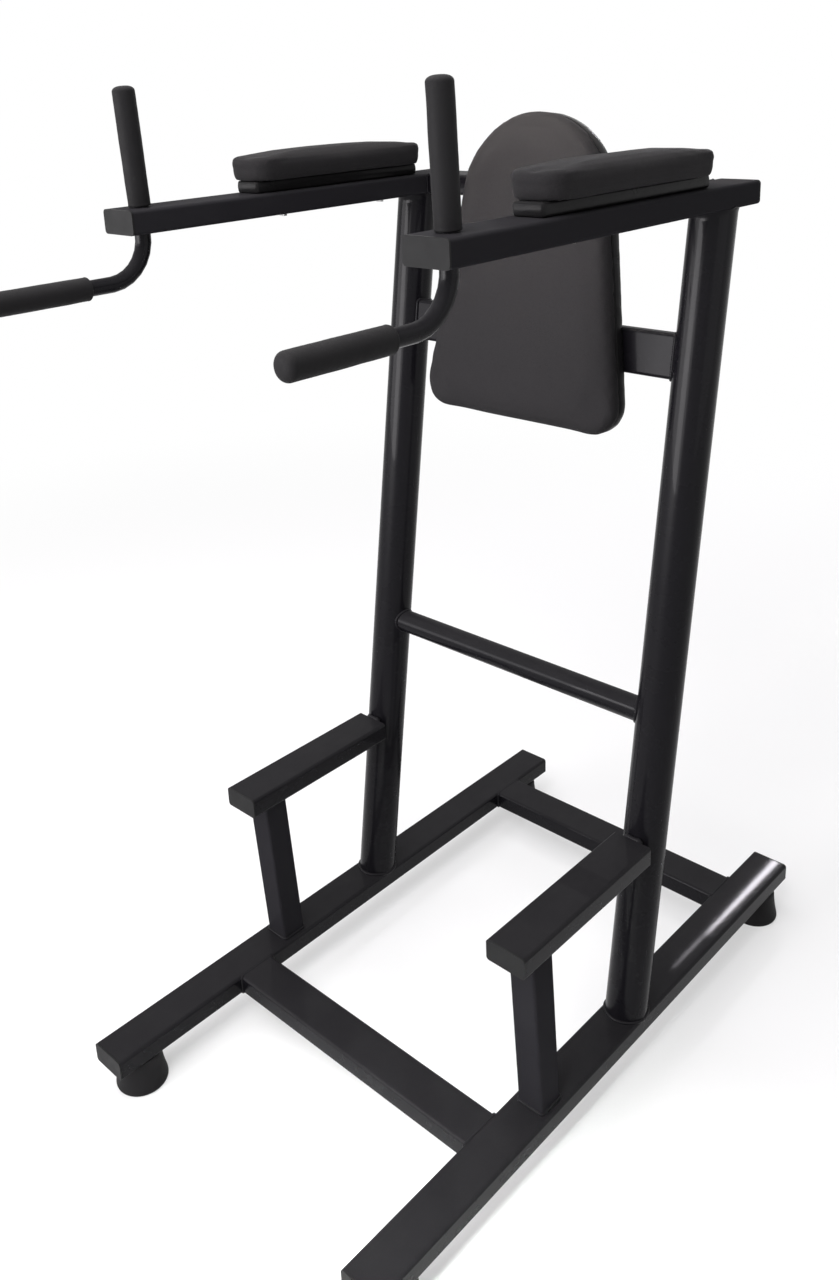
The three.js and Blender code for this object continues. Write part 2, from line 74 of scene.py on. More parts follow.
cameraPlace = {
    "x": 1.26599, "y": -1.42313, "z": 1.74799,
    "yaw": 43.2999, "pitch": -17.6319, "roll": -2.2053,   # degrees
    "lens": 33.082, "sensor": 36.0,                        # millimetres, over the picture's long side
    "shiftX": -0.0004, "shiftY": -0.1516,
}


def newObject(name, data):
    made = bpy.data.objects.new(name, data)
    scene.collection.objects.link(made)
    return made


def makeCamera(v):
    # three axes from yaw, pitch and roll, laid as the camera's right, top and back
    yaw, pitch, roll = (math.radians(v[key]) for key in ("yaw", "pitch", "roll"))
    ahead = Vector((-math.sin(yaw) * math.cos(pitch), math.cos(yaw) * math.cos(pitch), math.sin(pitch)))
    level = Vector((math.cos(yaw), math.sin(yaw), 0))
    upward = level.cross(ahead)
    right = math.cos(roll) * level + math.sin(roll) * upward
    top = math.cos(roll) * upward - math.sin(roll) * level
    data = bpy.data.cameras.new("photoCamera")
    data.sensor_fit = "AUTO"
    data.sensor_width = v["sensor"]
    data.lens = v["lens"]
    data.shift_x, data.shift_y = v["shiftX"], v["shiftY"]
    scene.camera = newObject("photoCamera", data)
    turn = Matrix((right, top, -ahead)).transposed().to_4x4()
    scene.camera.matrix_world = Matrix.Translation((v["x"], v["y"], v["z"])) @ turn


lampDefaults = {"aim": (0, 0.2, 1.3), "shape": "RECTANGLE", "tint": (1.0, 0.98, 1.0), "spread": 180.0,
                "inGloss": True}
lampPlaces = {
    "wideWindow": {"place": (-1.65, -5.57, 1.5), "size": (2.8, 1.8), "power": 235},
    "sideWindow": {"place": (-4.01, -4.26, 1.5), "size": (3.0, 1.8), "power": 100},
    "edgeWindow": {"place": (0.29, -6.0, 1.5), "size": (1.2, 1.8), "power": 32},
    "ceilingStrip": {"place": (-1.078, 4.1, 2.6), "aim": (-1.078, 4.1, 0), "size": (0.034, 2.2), "power": 42,
                     "shape": "ELLIPSE", "tint": (0.96, 0.93, 1.0)},
    "stripTip": {"place": (-1.084, 2.93, 2.6), "aim": (-1.084, 2.93, 0), "size": (0.014, 0.48), "power": 1.0,
                 "shape": "ELLIPSE", "tint": (0.96, 0.93, 1.0)},
    "softBox": {"place": (-0.9, -0.3, 3.5), "aim": (-0.9, -0.3, 0), "size": (3.2, 3.0), "power": 90,
                "inGloss": False},
    "frontTop": {"place": (0.5, -1.8, 2.9), "aim": (0, 0, 1.0), "size": (1.6, 1.6), "power": 54,
                 "inGloss": False},
    "warmTop": {"place": (-0.5, -1.1, 2.85), "aim": (0, 0.3, 1.72), "size": (0.4, 0.4), "power": 2.1,
                "tint": (1.0, 0.92, 0.8), "spread": 26.0},
    "frontLow": {"place": (0.75, -1.75, 2.0), "aim": (0.38, -0.72, 0.1), "size": (0.4, 0.4), "power": 3.4,
                 "tint": (0.96, 1.0, 0.95), "spread": 30.0, "inGloss": False},
    "sideFill": {"place": (3.9, 0.1, 1.5), "size": (3.2, 1.8), "power": 12},
}


def makeLamp(name, v):
    # an area lamp whose back points away from its aim; its spread is in degrees
    data = bpy.data.lights.new(name, "AREA")
    data.shape = v["shape"]
    data.size, data.size_y = v["size"]
    data.energy = v["power"]
    data.color = v["tint"]
    data.spread = math.radians(v["spread"])
    lamp = newObject(name, data)
    lamp.visible_glossy = v["inGloss"]
    back = Vector(v["place"]) - Vector(v["aim"])
    lamp.matrix_world = Matrix.Translation(v["place"]) @ back.to_track_quat("Z", "Y").to_matrix().to_4x4()


def addNode(tree, kind, **values):
    # a node with its settings, and with its inputs set or linked by name, or by number as i0, i1 and on
    node = tree.nodes.new(kind)
    for key, value in values.items():
        if hasattr(node, key):
            setattr(node, key, value)
            continue
        socket = node.inputs[int(key[1:]) if key[0] == "i" and key[1:].isdigit() else key.replace("_", " ")]
        if isinstance(value, bpy.types.NodeSocket):
            tree.links.new(value, socket)
        else:
            socket.default_value = value
    return node


def objectPlace(tree):
    return addNode(tree, "ShaderNodeTexCoord").outputs["Object"]


def calculate(tree, operation, *values):
    inputs = {f"i{index}": value for index, value in enumerate(values)}
    return addNode(tree, "ShaderNodeMath", operation=operation, **inputs).outputs[0]


def remap(tree, value, *limits, **settings):
    # the value, carried from the first two limits to the next two, which are 0 and 1 unless they are given
    inputs = {f"i{index}": limit for index, limit in enumerate(limits, start=1)}
    return addNode(tree, "ShaderNodeMapRange", **settings, Value=value, **inputs).outputs[0]


def noise(tree, output="Fac", **values):
    # noise in the object's own coordinates, unless a Vector is given
    if "Vector" not in values:
        values["Vector"] = objectPlace(tree)
    return addNode(tree, "ShaderNodeTexNoise", **values).outputs[output]


def mixColors(tree, share, first, second):
    return addNode(tree, "ShaderNodeMix", data_type="RGBA", i0=share, i6=first, i7=second).outputs[2]


def mixShaders(tree, share, first, second):
    both = {"i1": first.outputs[0], "i2": second.outputs[0]}
    return addNode(tree, "ShaderNodeMixShader", i0=share, **both).outputs[0]


def backgroundRays(tree):
    # 1 for the rays that show the background: seen by the camera, in gloss or through glass
    rays = addNode(tree, "ShaderNodeLightPath").outputs
    seen = calculate(tree, "MAXIMUM", rays["Is Camera Ray"], rays["Is Glossy Ray"])
    return calculate(tree, "MAXIMUM", seen, rays["Is Transmission Ray"])


studio = {"ambient": 0.28, "floorSize": 40.0, "floorDrop": 0.0004, "floorColor": (0.9, 0.9, 0.9, 1),
          "white": (1, 1, 1, 1), "glow": 0.46, "nearEdge": 1.2, "farEdge": 4.2}


def makeWorld(v):
    # plain white where the background shows, and an even light elsewhere
    scene.world = bpy.data.worlds.new("studioWorld")
    scene.world.use_nodes = True
    tree = scene.world.node_tree
    tree.nodes.clear()
    ambient = addNode(tree, "ShaderNodeBackground", Color=v["white"], Strength=v["ambient"])
    shown = addNode(tree, "ShaderNodeBackground", Color=v["white"], Strength=1.0)
    addNode(tree, "ShaderNodeOutputWorld", Surface=mixShaders(tree, backgroundRays(tree), ambient, shown))


def makeFloor(v):
    # a pale sheet that keeps the shadow near the object and turns plain white further out
    half, level = v["floorSize"] / 2, -v["floorDrop"]
    mesh = bpy.data.meshes.new("floor")
    corners = [(-half, -half, level), (half, -half, level), (half, half, level), (-half, half, level)]
    mesh.from_pydata(corners, [], [(0, 1, 2, 3)])
    material = bpy.data.materials.new("paleFloor")
    material.use_nodes = True
    tree = material.node_tree
    tree.nodes.clear()
    distance = addNode(tree, "ShaderNodeVectorMath", operation="LENGTH", i0=objectPlace(tree))
    share = remap(tree, distance.outputs["Value"], v["nearEdge"], v["farEdge"], v["glow"],
                  interpolation_type="SMOOTHSTEP")
    seen = calculate(tree, "MULTIPLY", share, backgroundRays(tree))
    plain = addNode(tree, "ShaderNodeBsdfDiffuse", Color=v["floorColor"])
    bright = addNode(tree, "ShaderNodeEmission", Color=v["white"], Strength=1.0)
    addNode(tree, "ShaderNodeOutputMaterial", Surface=mixShaders(tree, seen, plain, bright))
    mesh.materials.append(material)
    floor = newObject("floor", mesh)


makeCamera(cameraPlace)
for lampName, lampValues in lampPlaces.items():
    makeLamp(lampName, lampDefaults | lampValues)
makeWorld(studio)
makeFloor(studio)
print("camera, lamps and floor are in place")


# Shared surface effects, each a shader node group

def newEffect(name, inputs, outputs):
    # a node group with its inputs' first values; a tuple makes a colour input, and Color is a colour output
    tree = bpy.data.node_groups.new(name, "ShaderNodeTree")
    for label, value in inputs.items():
        kind = "NodeSocketColor" if isinstance(value, tuple) else "NodeSocketFloat"
        tree.interface.new_socket(label, in_out="INPUT", socket_type=kind).default_value = value
    for label in outputs:
        kind = "NodeSocketColor" if label == "Color" else "NodeSocketFloat"
        tree.interface.new_socket(label, in_out="OUTPUT", socket_type=kind)
    return tree, tree.nodes.new("NodeGroupInput").outputs


def makeRipple():
    # slow waves with fine ones on them, as a sprayed film dries
    tree, given = newEffect("sprayRipple", {"Scale": 300.0, "Fine": 0.3}, ["Height"])
    slow = noise(tree, Scale=given["Scale"], Detail=1.0, Roughness=0.4)
    small = noise(tree, Scale=calculate(tree, "MULTIPLY", given["Scale"], 5.0), Detail=1.0, Roughness=0.5)
    part = calculate(tree, "MULTIPLY", small, given["Fine"])
    addNode(tree, "NodeGroupOutput", Height=calculate(tree, "ADD", slow, part))
    return tree


def makeHandling():
    # roughness drifts between two values in cloudy patches, with streaks where cloths and hands passed
    tree, given = newEffect("handling", {"Low": 0.3, "High": 0.4, "Scale": 9.0}, ["Roughness", "Mask"])
    clouds = noise(tree, Scale=given["Scale"], Detail=5.0, Roughness=0.62, Distortion=0.6)
    wiped = addNode(tree, "ShaderNodeMapping", Vector=objectPlace(tree), Scale=(14.0, 3.0, 14.0),
                    Rotation=(0.4, 0.2, 0.5))
    streaks = noise(tree, Vector=wiped.outputs[0], Scale=3.0, Detail=4.0)
    mixed = addNode(tree, "ShaderNodeMix", data_type="FLOAT", i0=0.35, i2=clouds, i3=streaks).outputs[0]
    drift = remap(tree, mixed, 0.36, 0.64, given["Low"], given["High"])
    addNode(tree, "NodeGroupOutput", Roughness=drift, Mask=mixed)
    return tree


def makeDust():
    # a thin grey film on faces that look up, thicker where a cloudy pattern is high, and grainy
    inputs = {"Color": (0, 0, 0, 1), "Dust": (0.3, 0.29, 0.28, 1), "Amount": 0.1}
    tree, given = newEffect("settledDust", inputs, ["Color", "Upward"])
    normal = addNode(tree, "ShaderNodeTexCoord").outputs["Normal"]
    facing = addNode(tree, "ShaderNodeSeparateXYZ", Vector=normal).outputs["Z"]
    upward = remap(tree, facing, 0.1, 0.95, interpolation_type="SMOOTHSTEP")
    patches = remap(tree, noise(tree, Scale=16.0, Detail=7.0, Roughness=0.7), 0.3, 0.75, 0.6)
    grains = remap(tree, noise(tree, Scale=900.0, Detail=2.0), 0.4, 0.7, 0.5)
    film = calculate(tree, "MULTIPLY", calculate(tree, "MULTIPLY", upward, patches), grains)
    amount = calculate(tree, "MULTIPLY", film, given["Amount"])
    mixed = mixColors(tree, amount, given["Color"], given["Dust"])
    addNode(tree, "NodeGroupOutput", Color=mixed, Upward=upward)
    return tree


def makeHideGrain():
    # rounded pebbles with creases between them: cell distance, bent by slow noise
    tree, given = newEffect("hideGrain", {"Scale": 700.0}, ["Height", "Crease"])
    drift = noise(tree, "Color", Scale=220.0, Detail=2.0)
    bent = addNode(tree, "ShaderNodeMix", data_type="VECTOR", i0=0.004, i4=objectPlace(tree),
                   i5=drift).outputs[1]
    cells = addNode(tree, "ShaderNodeTexVoronoi", feature="SMOOTH_F1", Vector=bent, Scale=given["Scale"],
                    Smoothness=0.35)
    borders = addNode(tree, "ShaderNodeTexVoronoi", feature="DISTANCE_TO_EDGE", Vector=bent,
                      Scale=given["Scale"])
    crease = remap(tree, borders.outputs["Distance"], 0.0, 0.16)
    rounded = calculate(tree, "MULTIPLY", cells.outputs["Distance"], -0.55)
    addNode(tree, "NodeGroupOutput", Height=calculate(tree, "ADD", crease, rounded), Crease=crease)
    return tree


effects = {"ripple": makeRipple(), "handling": makeHandling(), "dust": makeDust(), "grain": makeHideGrain()}


def useEffect(tree, name, **values):
    return addNode(tree, "ShaderNodeGroup", node_tree=effects[name], **values).outputs


# Finishes; each look's "shader" holds the constants of the shader's own sockets

def newFinish(name, v):
    # a material with the cloudy gloss that every finish has
    material = bpy.data.materials.new(name)
    material.use_nodes = True
    tree = material.node_tree
    return material, tree, useEffect(tree, "handling", Low=v["low"], High=v["high"], Scale=v["patches"])


def endFinish(material, v, color, roughness, height, **bumpInputs):
    # what varies feeds the shader, the height through a bump
    tree = material.node_tree
    bump = addNode(tree, "ShaderNodeBump", Strength=v["bump"], Distance=v["bumpDepth"], Height=height,
                   **bumpInputs)
    inputs = tree.nodes["Principled BSDF"].inputs
    tree.links.new(color, inputs["Base Color"])
    tree.links.new(roughness, inputs["Roughness"])
    tree.links.new(bump.outputs["Normal"], inputs["Normal"])
    for label, value in v["shader"].items():
        inputs[label].default_value = value
    return material


paintLook = {"color": (0.0047, 0.0044, 0.0056, 1), "low": 0.24, "high": 0.3, "patches": 7.0,
             "dust": 0.04, "dustColor": (0.34, 0.33, 0.33, 1), "topDull": 0.4,
             "rippleScale": 260.0, "fine": 0.25, "bump": 0.01, "bumpDepth": 0.0003,
             "shader": {"Specular IOR Level": 0.06, "Coat Weight": 0.075, "Coat Roughness": 0.035}}
# the arms' and posts' paint: the frame's black enamel with no specular reflection, its base colour made
# lighter than the frame's as painted sheen in place of that reflection
armPaintWithPaintedSheenLook = paintLook | {
    "color": (0.0152, 0.0147, 0.0168, 1),
    "shader": {"Specular IOR Level": 0.0, "Coat Weight": 0.035, "Coat Roughness": 0.1}}
barPaintLook = paintLook | {
    "shader": {"Specular IOR Level": 0.034, "Coat Weight": 0.05, "Coat Roughness": 0.09}}
capLook = {"color": (0.0085, 0.0085, 0.0088, 1), "low": 0.44, "high": 0.56, "patches": 30.0,
           "dust": 0.02, "dustColor": (0.34, 0.33, 0.33, 1), "topDull": 0.0,
           "rippleScale": 900.0, "fine": 0.6, "bump": 0.12, "bumpDepth": 0.0002,
           "shader": {"Specular IOR Level": 0.1}}


def makeCoat(name, v):
    # sprayed enamel or moulded plastic: rippled, with a little settled dust, and duller where it looks up
    material, tree, gloss = newFinish(name, v)
    dust = useEffect(tree, "dust", Color=v["color"], Dust=v["dustColor"], Amount=v["dust"])
    ripple = useEffect(tree, "ripple", Scale=v["rippleScale"], Fine=v["fine"])
    duller = calculate(tree, "MULTIPLY_ADD", dust["Upward"], v["topDull"], gloss["Roughness"])
    return endFinish(material, v, dust["Color"], duller, ripple["Height"])


rubberLook = {"color": (0.0085, 0.0082, 0.0088, 1), "worn": (0.013, 0.0126, 0.0132, 1),
              "low": 0.52, "high": 0.66, "patches": 24.0, "dust": 0.05, "dustColor": (0.34, 0.33, 0.33, 1),
              "poreScale": 1500.0, "bump": 0.22, "bumpDepth": 0.00035, "shader": {"Specular IOR Level": 0.07}}


def makeRubber(name, v):
    # closed-cell rubber: pores as small pits, and a paler bloom in cloudy patches
    material, tree, gloss = newFinish(name, v)
    pores = addNode(tree, "ShaderNodeTexVoronoi", Vector=objectPlace(tree), Scale=v["poreScale"])
    pits = remap(tree, pores.outputs["Distance"], 0.1, 0.45)
    bloom = mixColors(tree, gloss["Mask"], v["color"], v["worn"])
    dust = useEffect(tree, "dust", Color=bloom, Dust=v["dustColor"], Amount=v["dust"])
    return endFinish(material, v, dust["Color"], gloss["Roughness"], pits)


vinylLook = {"color": (0.0205, 0.0196, 0.0208, 1), "paintedCreaseShade": (0.0126, 0.0121, 0.0128, 1),
             "low": 0.56, "high": 0.64, "patches": 11.0, "dust": 0.015, "dustColor": (0.36, 0.355, 0.34, 1),
             "grainScale": 620.0, "bump": 0.25, "bumpDepth": 0.00025,
             "pullScale": 14.0, "pullBump": 0.04, "pullDepth": 0.002, "shader": {"Specular IOR Level": 0.03}}
# the boards' cover: the same vinyl as the cushions, stretched tighter and glossier, its colour darker as
# painted shade
tightVinylPaintedShadeLook = vinylLook | {
    "color": (0.0115, 0.0112, 0.0118, 1), "paintedCreaseShade": (0.008, 0.0078, 0.0082, 1),
    "low": 0.2, "high": 0.28, "bump": 0.1, "shader": {"Specular IOR Level": 0.06}}


def makeVinyl(name, v):
    # coated upholstery: pebbled grain, painted shade darkening its creases, and slow pulls where it is
    # stretched
    material, tree, gloss = newFinish(name, v)
    grain = useEffect(tree, "grain", Scale=v["grainScale"])
    # the grain's creases take a darker colour: painted shade
    tone = mixColors(tree, grain["Crease"], v["paintedCreaseShade"], v["color"])
    dust = useEffect(tree, "dust", Color=tone, Dust=v["dustColor"], Amount=v["dust"])
    pulls = noise(tree, Scale=v["pullScale"], Detail=2.0, Distortion=0.8)
    pulled = addNode(tree, "ShaderNodeBump", Strength=v["pullBump"], Distance=v["pullDepth"], Height=pulls)
    return endFinish(material, v, dust["Color"], gloss["Roughness"], grain["Height"],
                     Normal=pulled.outputs["Normal"])


panelLook = {"color": (0.012, 0.0118, 0.0115, 1), "worn": (0.034, 0.028, 0.022, 1),
             "low": 0.6, "high": 0.78, "patches": 18.0, "drawn": (14.0, 1.0, 1.0), "grainScale": 22.0,
             "bump": 0.3, "bumpDepth": 0.0004, "shader": {"Specular IOR Level": 0.2}}


def makePanel(name, v):
    # a plywood face under thin dark paint: noise drawn out along the grain, paler where the paint is thin
    material, tree, gloss = newFinish(name, v)
    drawn = addNode(tree, "ShaderNodeMapping", Vector=objectPlace(tree), Scale=v["drawn"])
    fibres = noise(tree, Vector=drawn.outputs[0], Scale=v["grainScale"], Detail=8.0, Roughness=0.68)
    tone = mixColors(tree, remap(tree, fibres, 0.52, 0.74), v["color"], v["worn"])
    return endFinish(material, v, tone, gloss["Roughness"], fibres)


zincLook = {"color": (0.5, 0.5, 0.49, 1), "dull": (0.3, 0.3, 0.31, 1), "low": 0.28, "high": 0.5,
            "patches": 60.0, "rippleScale": 1400.0, "fine": 0.5, "bump": 0.1, "bumpDepth": 0.0002,
            "shader": {"Metallic": 1.0}}


def makeZinc(name, v):
    # plated fasteners: bright metal with cloudy passivation
    material, tree, gloss = newFinish(name, v)
    ripple = useEffect(tree, "ripple", Scale=v["rippleScale"], Fine=v["fine"])
    tone = mixColors(tree, gloss["Mask"], v["color"], v["dull"])
    return endFinish(material, v, tone, gloss["Roughness"], ripple["Height"])


finishes = {
    "paint": makeCoat("blackPaint", paintLook),
    "armPaintWithPaintedSheen": makeCoat("armPaintWithPaintedSheen", armPaintWithPaintedSheenLook),
    "barPaint": makeCoat("barPaint", barPaintLook),
    "plastic": makeCoat("capPlastic", capLook),
    "rubber": makeRubber("gripRubber", rubberLook),
    "vinyl": makeVinyl("blackVinyl", vinylLook),
    "tightVinylPaintedShade": makeVinyl("tightVinylPaintedShade", tightVinylPaintedShadeLook),
    "panel": makePanel("paintedPanel", panelLook),
    "zinc": makeZinc("zincSteel", zincLook),
}
print("finishes are made")


# The welded steel, caps and fasteners keep their own shapes, smoothed over their small facets

smoothing = {"mergeDistance": 0.00002, "angle": 40.0, "weight": 100}


def makeSmoother(name, v):
    # joins the loose triangles, then shades smooth across every edge that turns less than the angle
    tree = bpy.data.node_groups.new(name, "GeometryNodeTree")
    for direction in ("INPUT", "OUTPUT"):
        tree.interface.new_socket("Geometry", in_out=direction, socket_type="NodeSocketGeometry")
    given = tree.nodes.new("NodeGroupInput").outputs[0]
    merged = addNode(tree, "GeometryNodeMergeByDistance", Geometry=given, Distance=v["mergeDistance"])
    bare = addNode(tree, "GeometryNodeRemoveAttribute", Geometry=merged.outputs[0], Name="custom_normal")
    soft = addNode(tree, "GeometryNodeSetShadeSmooth", domain="FACE", Geometry=bare.outputs[0])
    edge = addNode(tree, "GeometryNodeInputMeshEdgeAngle").outputs["Unsigned Angle"]
    gentle = addNode(tree, "FunctionNodeCompare", data_type="FLOAT", operation="LESS_THAN",
                     i0=edge, i1=math.radians(v["angle"])).outputs[0]
    creased = addNode(tree, "GeometryNodeSetShadeSmooth", domain="EDGE", Geometry=soft.outputs[0],
                      Shade_Smooth=gentle)
    addNode(tree, "NodeGroupOutput", Geometry=creased.outputs[0])
    return tree


def dressNode(name, finish, smoother):
    node = frame["nodes"][name]
    node.data.materials.clear()
    node.data.materials.append(finish)
    node.modifiers.new("joined", "NODES").node_group = smoother
    weighted = node.modifiers.new("flatFaces", "WEIGHTED_NORMAL")
    weighted.keep_sharp = True
    weighted.weight = smoothing["weight"]


steelSmoother = makeSmoother("smoothSteel", smoothing)
softEndings = ("cushion", "board", "sleeve", "foot")   # these get pieces of their own below
# arms and posts take the paint whose lighter colour is painted sheen
endingFinishes = {"arm": "armPaintWithPaintedSheen", "post": "armPaintWithPaintedSheen", "cap": "plastic", "bolt": "zinc", "nut": "zinc"}
for nodeName in frame["nodes"]:
    ending = nodeName.split("_")[-1]
    if ending not in softEndings:
        dressNode(nodeName, finishes[endingFinishes.get(ending, "paint")], steelSmoother)
frame["nodes"]["pad_bar"].data.materials[0] = finishes["barPaint"]
print("frame, caps and fasteners are finished")


# Helpers for new surfaces

def joinedQuads(rows, columns, closeRows=False):
    # one quad for each step down the rows and round the columns, which close on themselves
    row, column = np.meshgrid(np.arange(rows if closeRows else rows - 1), np.arange(columns), indexing="ij")
    below, beside = (row + 1) % rows, (column + 1) % columns
    corners = ((row, column), (row, beside), (below, beside), (below, column))
    return np.stack([down * columns + along for down, along in corners], axis=-1).reshape(-1, 4)


def shellFaces(rows, columns):
    # quads between the rings, and a fan from each end ring to its pole, the poles being the last two points
    ring = np.arange(columns)
    fans = []
    for start, pole in ((0, rows * columns), ((rows - 1) * columns, rows * columns + 1)):
        fans += np.stack([start + ring, start + np.roll(ring, -1), np.full(columns, pole)], axis=-1).tolist()
    return joinedQuads(rows, columns).tolist() + fans


def newMesh(name, points, faces, creaseAngle=45.0):
    # faces are turned outward, and edges sharper than the angle stay crisp
    mesh = bpy.data.meshes.new(name)
    mesh.from_pydata(points.tolist(), [], faces)
    shape = bmesh.new()
    shape.from_mesh(mesh)
    bmesh.ops.recalc_face_normals(shape, faces=shape.faces)
    shape.to_mesh(mesh)
    shape.free()
    mesh.shade_smooth()
    mesh.set_sharp_from_angle(angle=math.radians(creaseAngle))
    return newObject(name, mesh)


def closedShell(name, rings, creaseAngle=45.0):
    # rings of points from one pole to the other; each pole is the middle of its end ring
    points = np.vstack([rings.reshape(-1, 3), rings[0].mean(axis=0), rings[-1].mean(axis=0)])
    return newMesh(name, points, shellFaces(*rings.shape[:2]), creaseAngle)


def closedLoop(name, rings, creaseAngle=45.0):
    # rings of points whose last ring joins the first
    faces = joinedQuads(*rings.shape[:2], closeRows=True).tolist()
    return newMesh(name, rings.reshape(-1, 3), faces, creaseAngle)


def finishPiece(piece, finish, slotName, *replaced):
    piece.data.materials.clear()
    piece.data.materials.append(finish)
    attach(piece, "root")
    if replaced:
        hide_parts(*replaced)


def waves(points, size, seed, count=7, height=1.6):
    # a smooth value for each point: the mean of sine waves of one length in seeded directions
    random = np.random.default_rng(seed)
    directions = random.normal(size=(count, 3))
    directions *= (2 * math.pi / size / np.linalg.norm(directions, axis=1))[:, None]
    phases = random.uniform(0, 2 * math.pi, count)
    return np.sin(points @ directions.T + phases).mean(axis=-1) * height


def unit(vectors):
    return vectors / np.linalg.norm(vectors, axis=-1, keepdims=True)


def together(*columns):
    # columns of one length, or single values, side by side
    return np.stack(np.broadcast_arrays(*columns), axis=-1)


def fullTurn(steps):
    # the cosines and sines of even steps round a circle
    angle = np.linspace(0, 2 * math.pi, steps, endpoint=False)
    return np.cos(angle), np.sin(angle)


def shrunk(ring, shares):
    # copies of a ring, drawn towards its middle
    middle = ring.mean(axis=0)
    return [middle + (ring - middle) * share for share in shares]


def arcOutline(arcs, arcSteps=10, sideSteps=12):
    # arcs given as centre, radius, first and last angle, with a straight run from each to the next;
    # each row is a point and its outward direction
    curves = []
    for x, y, radius, first, last in arcs:
        angle = np.radians(np.linspace(first, last, arcSteps + 1))
        away = together(np.cos(angle), np.sin(angle))
        curves.append(np.hstack([[x, y] + radius * away, away]))
    share = np.linspace(0, 1, sideSteps + 1)[1:-1, None]
    parts = []
    for curve, following in zip(curves, curves[1:] + curves[:1]):
        parts += [curve, curve[-1] * (1 - share) + following[0] * share]
    return np.vstack(parts)


def roundedOutline(width, height, corner, arcSteps=8, sideSteps=12):
    # a rectangle with quarter circles for corners
    x, y = width / 2 - corner, height / 2 - corner
    signs = ((1, 1), (-1, 1), (-1, -1), (1, -1))
    arcs = [(x * right, y * up, corner, 90 * turn, 90 * turn + 90) for turn, (right, up) in enumerate(signs)]
    return arcOutline(arcs, arcSteps, sideSteps)


def insetLoop(outline, inset):
    # each point moved in against its outward direction
    return outline[:, :2] - inset * outline[:, 2:]


# Where the frame's tubes run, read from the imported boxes

def boxOf(node):
    low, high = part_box(node)
    return np.array(low), np.array(high)


tubeCorner = 0.006
lean = math.radians(8.37)
railLow, railHigh = boxOf("right_base_rail")
armLow, armHigh = boxOf("right_arm")
uprightLow, uprightHigh = boxOf("right_upright")
railTop = railHigh[2]
armUnderside, armTop = armLow[2], armHigh[2]
sideX = (railLow[0] + railHigh[0]) / 2
halfTube = (railHigh[0] - railLow[0]) / 2
uprightRadius = (uprightHigh[0] - uprightLow[0]) / 2
uprightFoot = uprightLow[1] + uprightRadius / math.cos(lean)


def uprightPlace(z):
    # where the uprights' axes are at a height: the height's share of the lean, from their feet
    return uprightFoot + (z - uprightLow[2]) * math.tan(lean)


def fromLean(points):
    # points in the uprights' leaning axes, whose origin is between their feet, as the station's points
    x, y, z = np.moveaxis(np.asarray(points, float), -1, 0)
    return together(x, uprightPlace(railTop) + y * math.cos(lean) + z * math.sin(lean),
                    railTop - y * math.sin(lean) + z * math.cos(lean))


def toLean(points):
    # the station's points in the uprights' leaning axes
    x, y, z = np.moveaxis(np.asarray(points, float), -1, 0)
    back, up = y - uprightPlace(railTop), z - railTop
    return together(x, back * math.cos(lean) - up * math.sin(lean),
                    back * math.sin(lean) + up * math.cos(lean))


# Weld beads

# the ripple's shape is a power of its sine, and its mean is taken off so that the radius keeps its size
weld = {"radius": 0.0031, "thinRadius": 0.0018, "step": 0.0009, "ripple": 0.0042, "rippleShare": 0.13,
        "rippleShape": 0.6, "rippleMean": 0.7, "wanderShare": 0.06, "wander": 0.018, "bow": 0.5, "turns": 12,
        "proud": 0.0006, "creaseAngle": 80.0}


def cornerDrop(offset, half):
    # how far a tube's rounded edge falls away below its flat, at an offset from the flat's middle
    beyond = np.clip(np.abs(offset) - (half - tubeCorner), 0, tubeCorner)
    return tubeCorner - np.sqrt(np.maximum(tubeCorner ** 2 - beyond ** 2, 0))


def evenLoop(loop, step):
    # points about a step apart round a closed loop, by distance along its first three columns
    closed = np.vstack([loop, loop[:1]])
    lengths = np.concatenate([[0], np.cumsum(np.linalg.norm(np.diff(closed[:, :3], axis=0), axis=1))])
    count = round(lengths[-1] / step)
    at = np.arange(count) * lengths[-1] / count
    return together(*(np.interp(at, lengths, column) for column in closed.T)), lengths[-1]


def weldBead(name, loop, seed, v):
    # a round bead along a closed loop of points and radii; its radius swells once a ripple and drifts slowly
    path, total = evenLoop(loop, v["step"])
    centre, radius = path[:, :3], path[:, 3]
    along = np.arange(len(path)) / len(path)
    ripples = max(round(total / v["ripple"]), 3)
    tangent = unit(np.roll(centre, -1, axis=0) - np.roll(centre, 1, axis=0))
    outward = centre - centre.mean(axis=0)
    outward = unit(outward - (outward * tangent).sum(axis=1, keepdims=True) * tangent)
    across = np.cross(tangent, outward)
    cosine, sine = fullTurn(v["turns"])
    phase = math.pi * ripples * along[:, None] + v["bow"] * cosine
    swell = 1 + v["rippleShare"] * (np.abs(np.sin(phase)) ** v["rippleShape"] - v["rippleMean"])
    drift = 1 + v["wanderShare"] * waves(centre, v["wander"], seed)
    reach = (radius * drift)[:, None] * swell
    rings = (centre[:, None] + (reach * cosine)[..., None] * outward[:, None]
             + (reach * sine)[..., None] * across[:, None])
    return closedLoop(name, rings, v["creaseAngle"])


pipeEnd = {"steps": 120, "drawIn": 0.4, "sink": 0.62, "thicken": 0.1}   # three shares of the drop


def uprightEndLoop(sign, v):
    # the ellipse where a leaning pipe stands on a rail, dropped over the rail's rounded edges
    across, along = fullTurn(v["steps"])
    drop = cornerDrop(across * uprightRadius, halfTube)
    reach = uprightRadius + weld["proud"] - v["drawIn"] * drop
    return together(sign * sideX + across * reach, uprightPlace(railTop) + along * reach / math.cos(lean),
                    railTop + weld["proud"] - v["sink"] * drop, weld["radius"] + v["thicken"] * drop)


flare = {"steps": 180, "width": 0.0075, "height": 0.014, "least": 0.0012, "narrowing": 1.5, "inside": 0.0012,
         "above": 0.0003, "sink": 0.6, "sideways": 0.0006, "coveSteps": 8, "creaseAngle": 60.0}


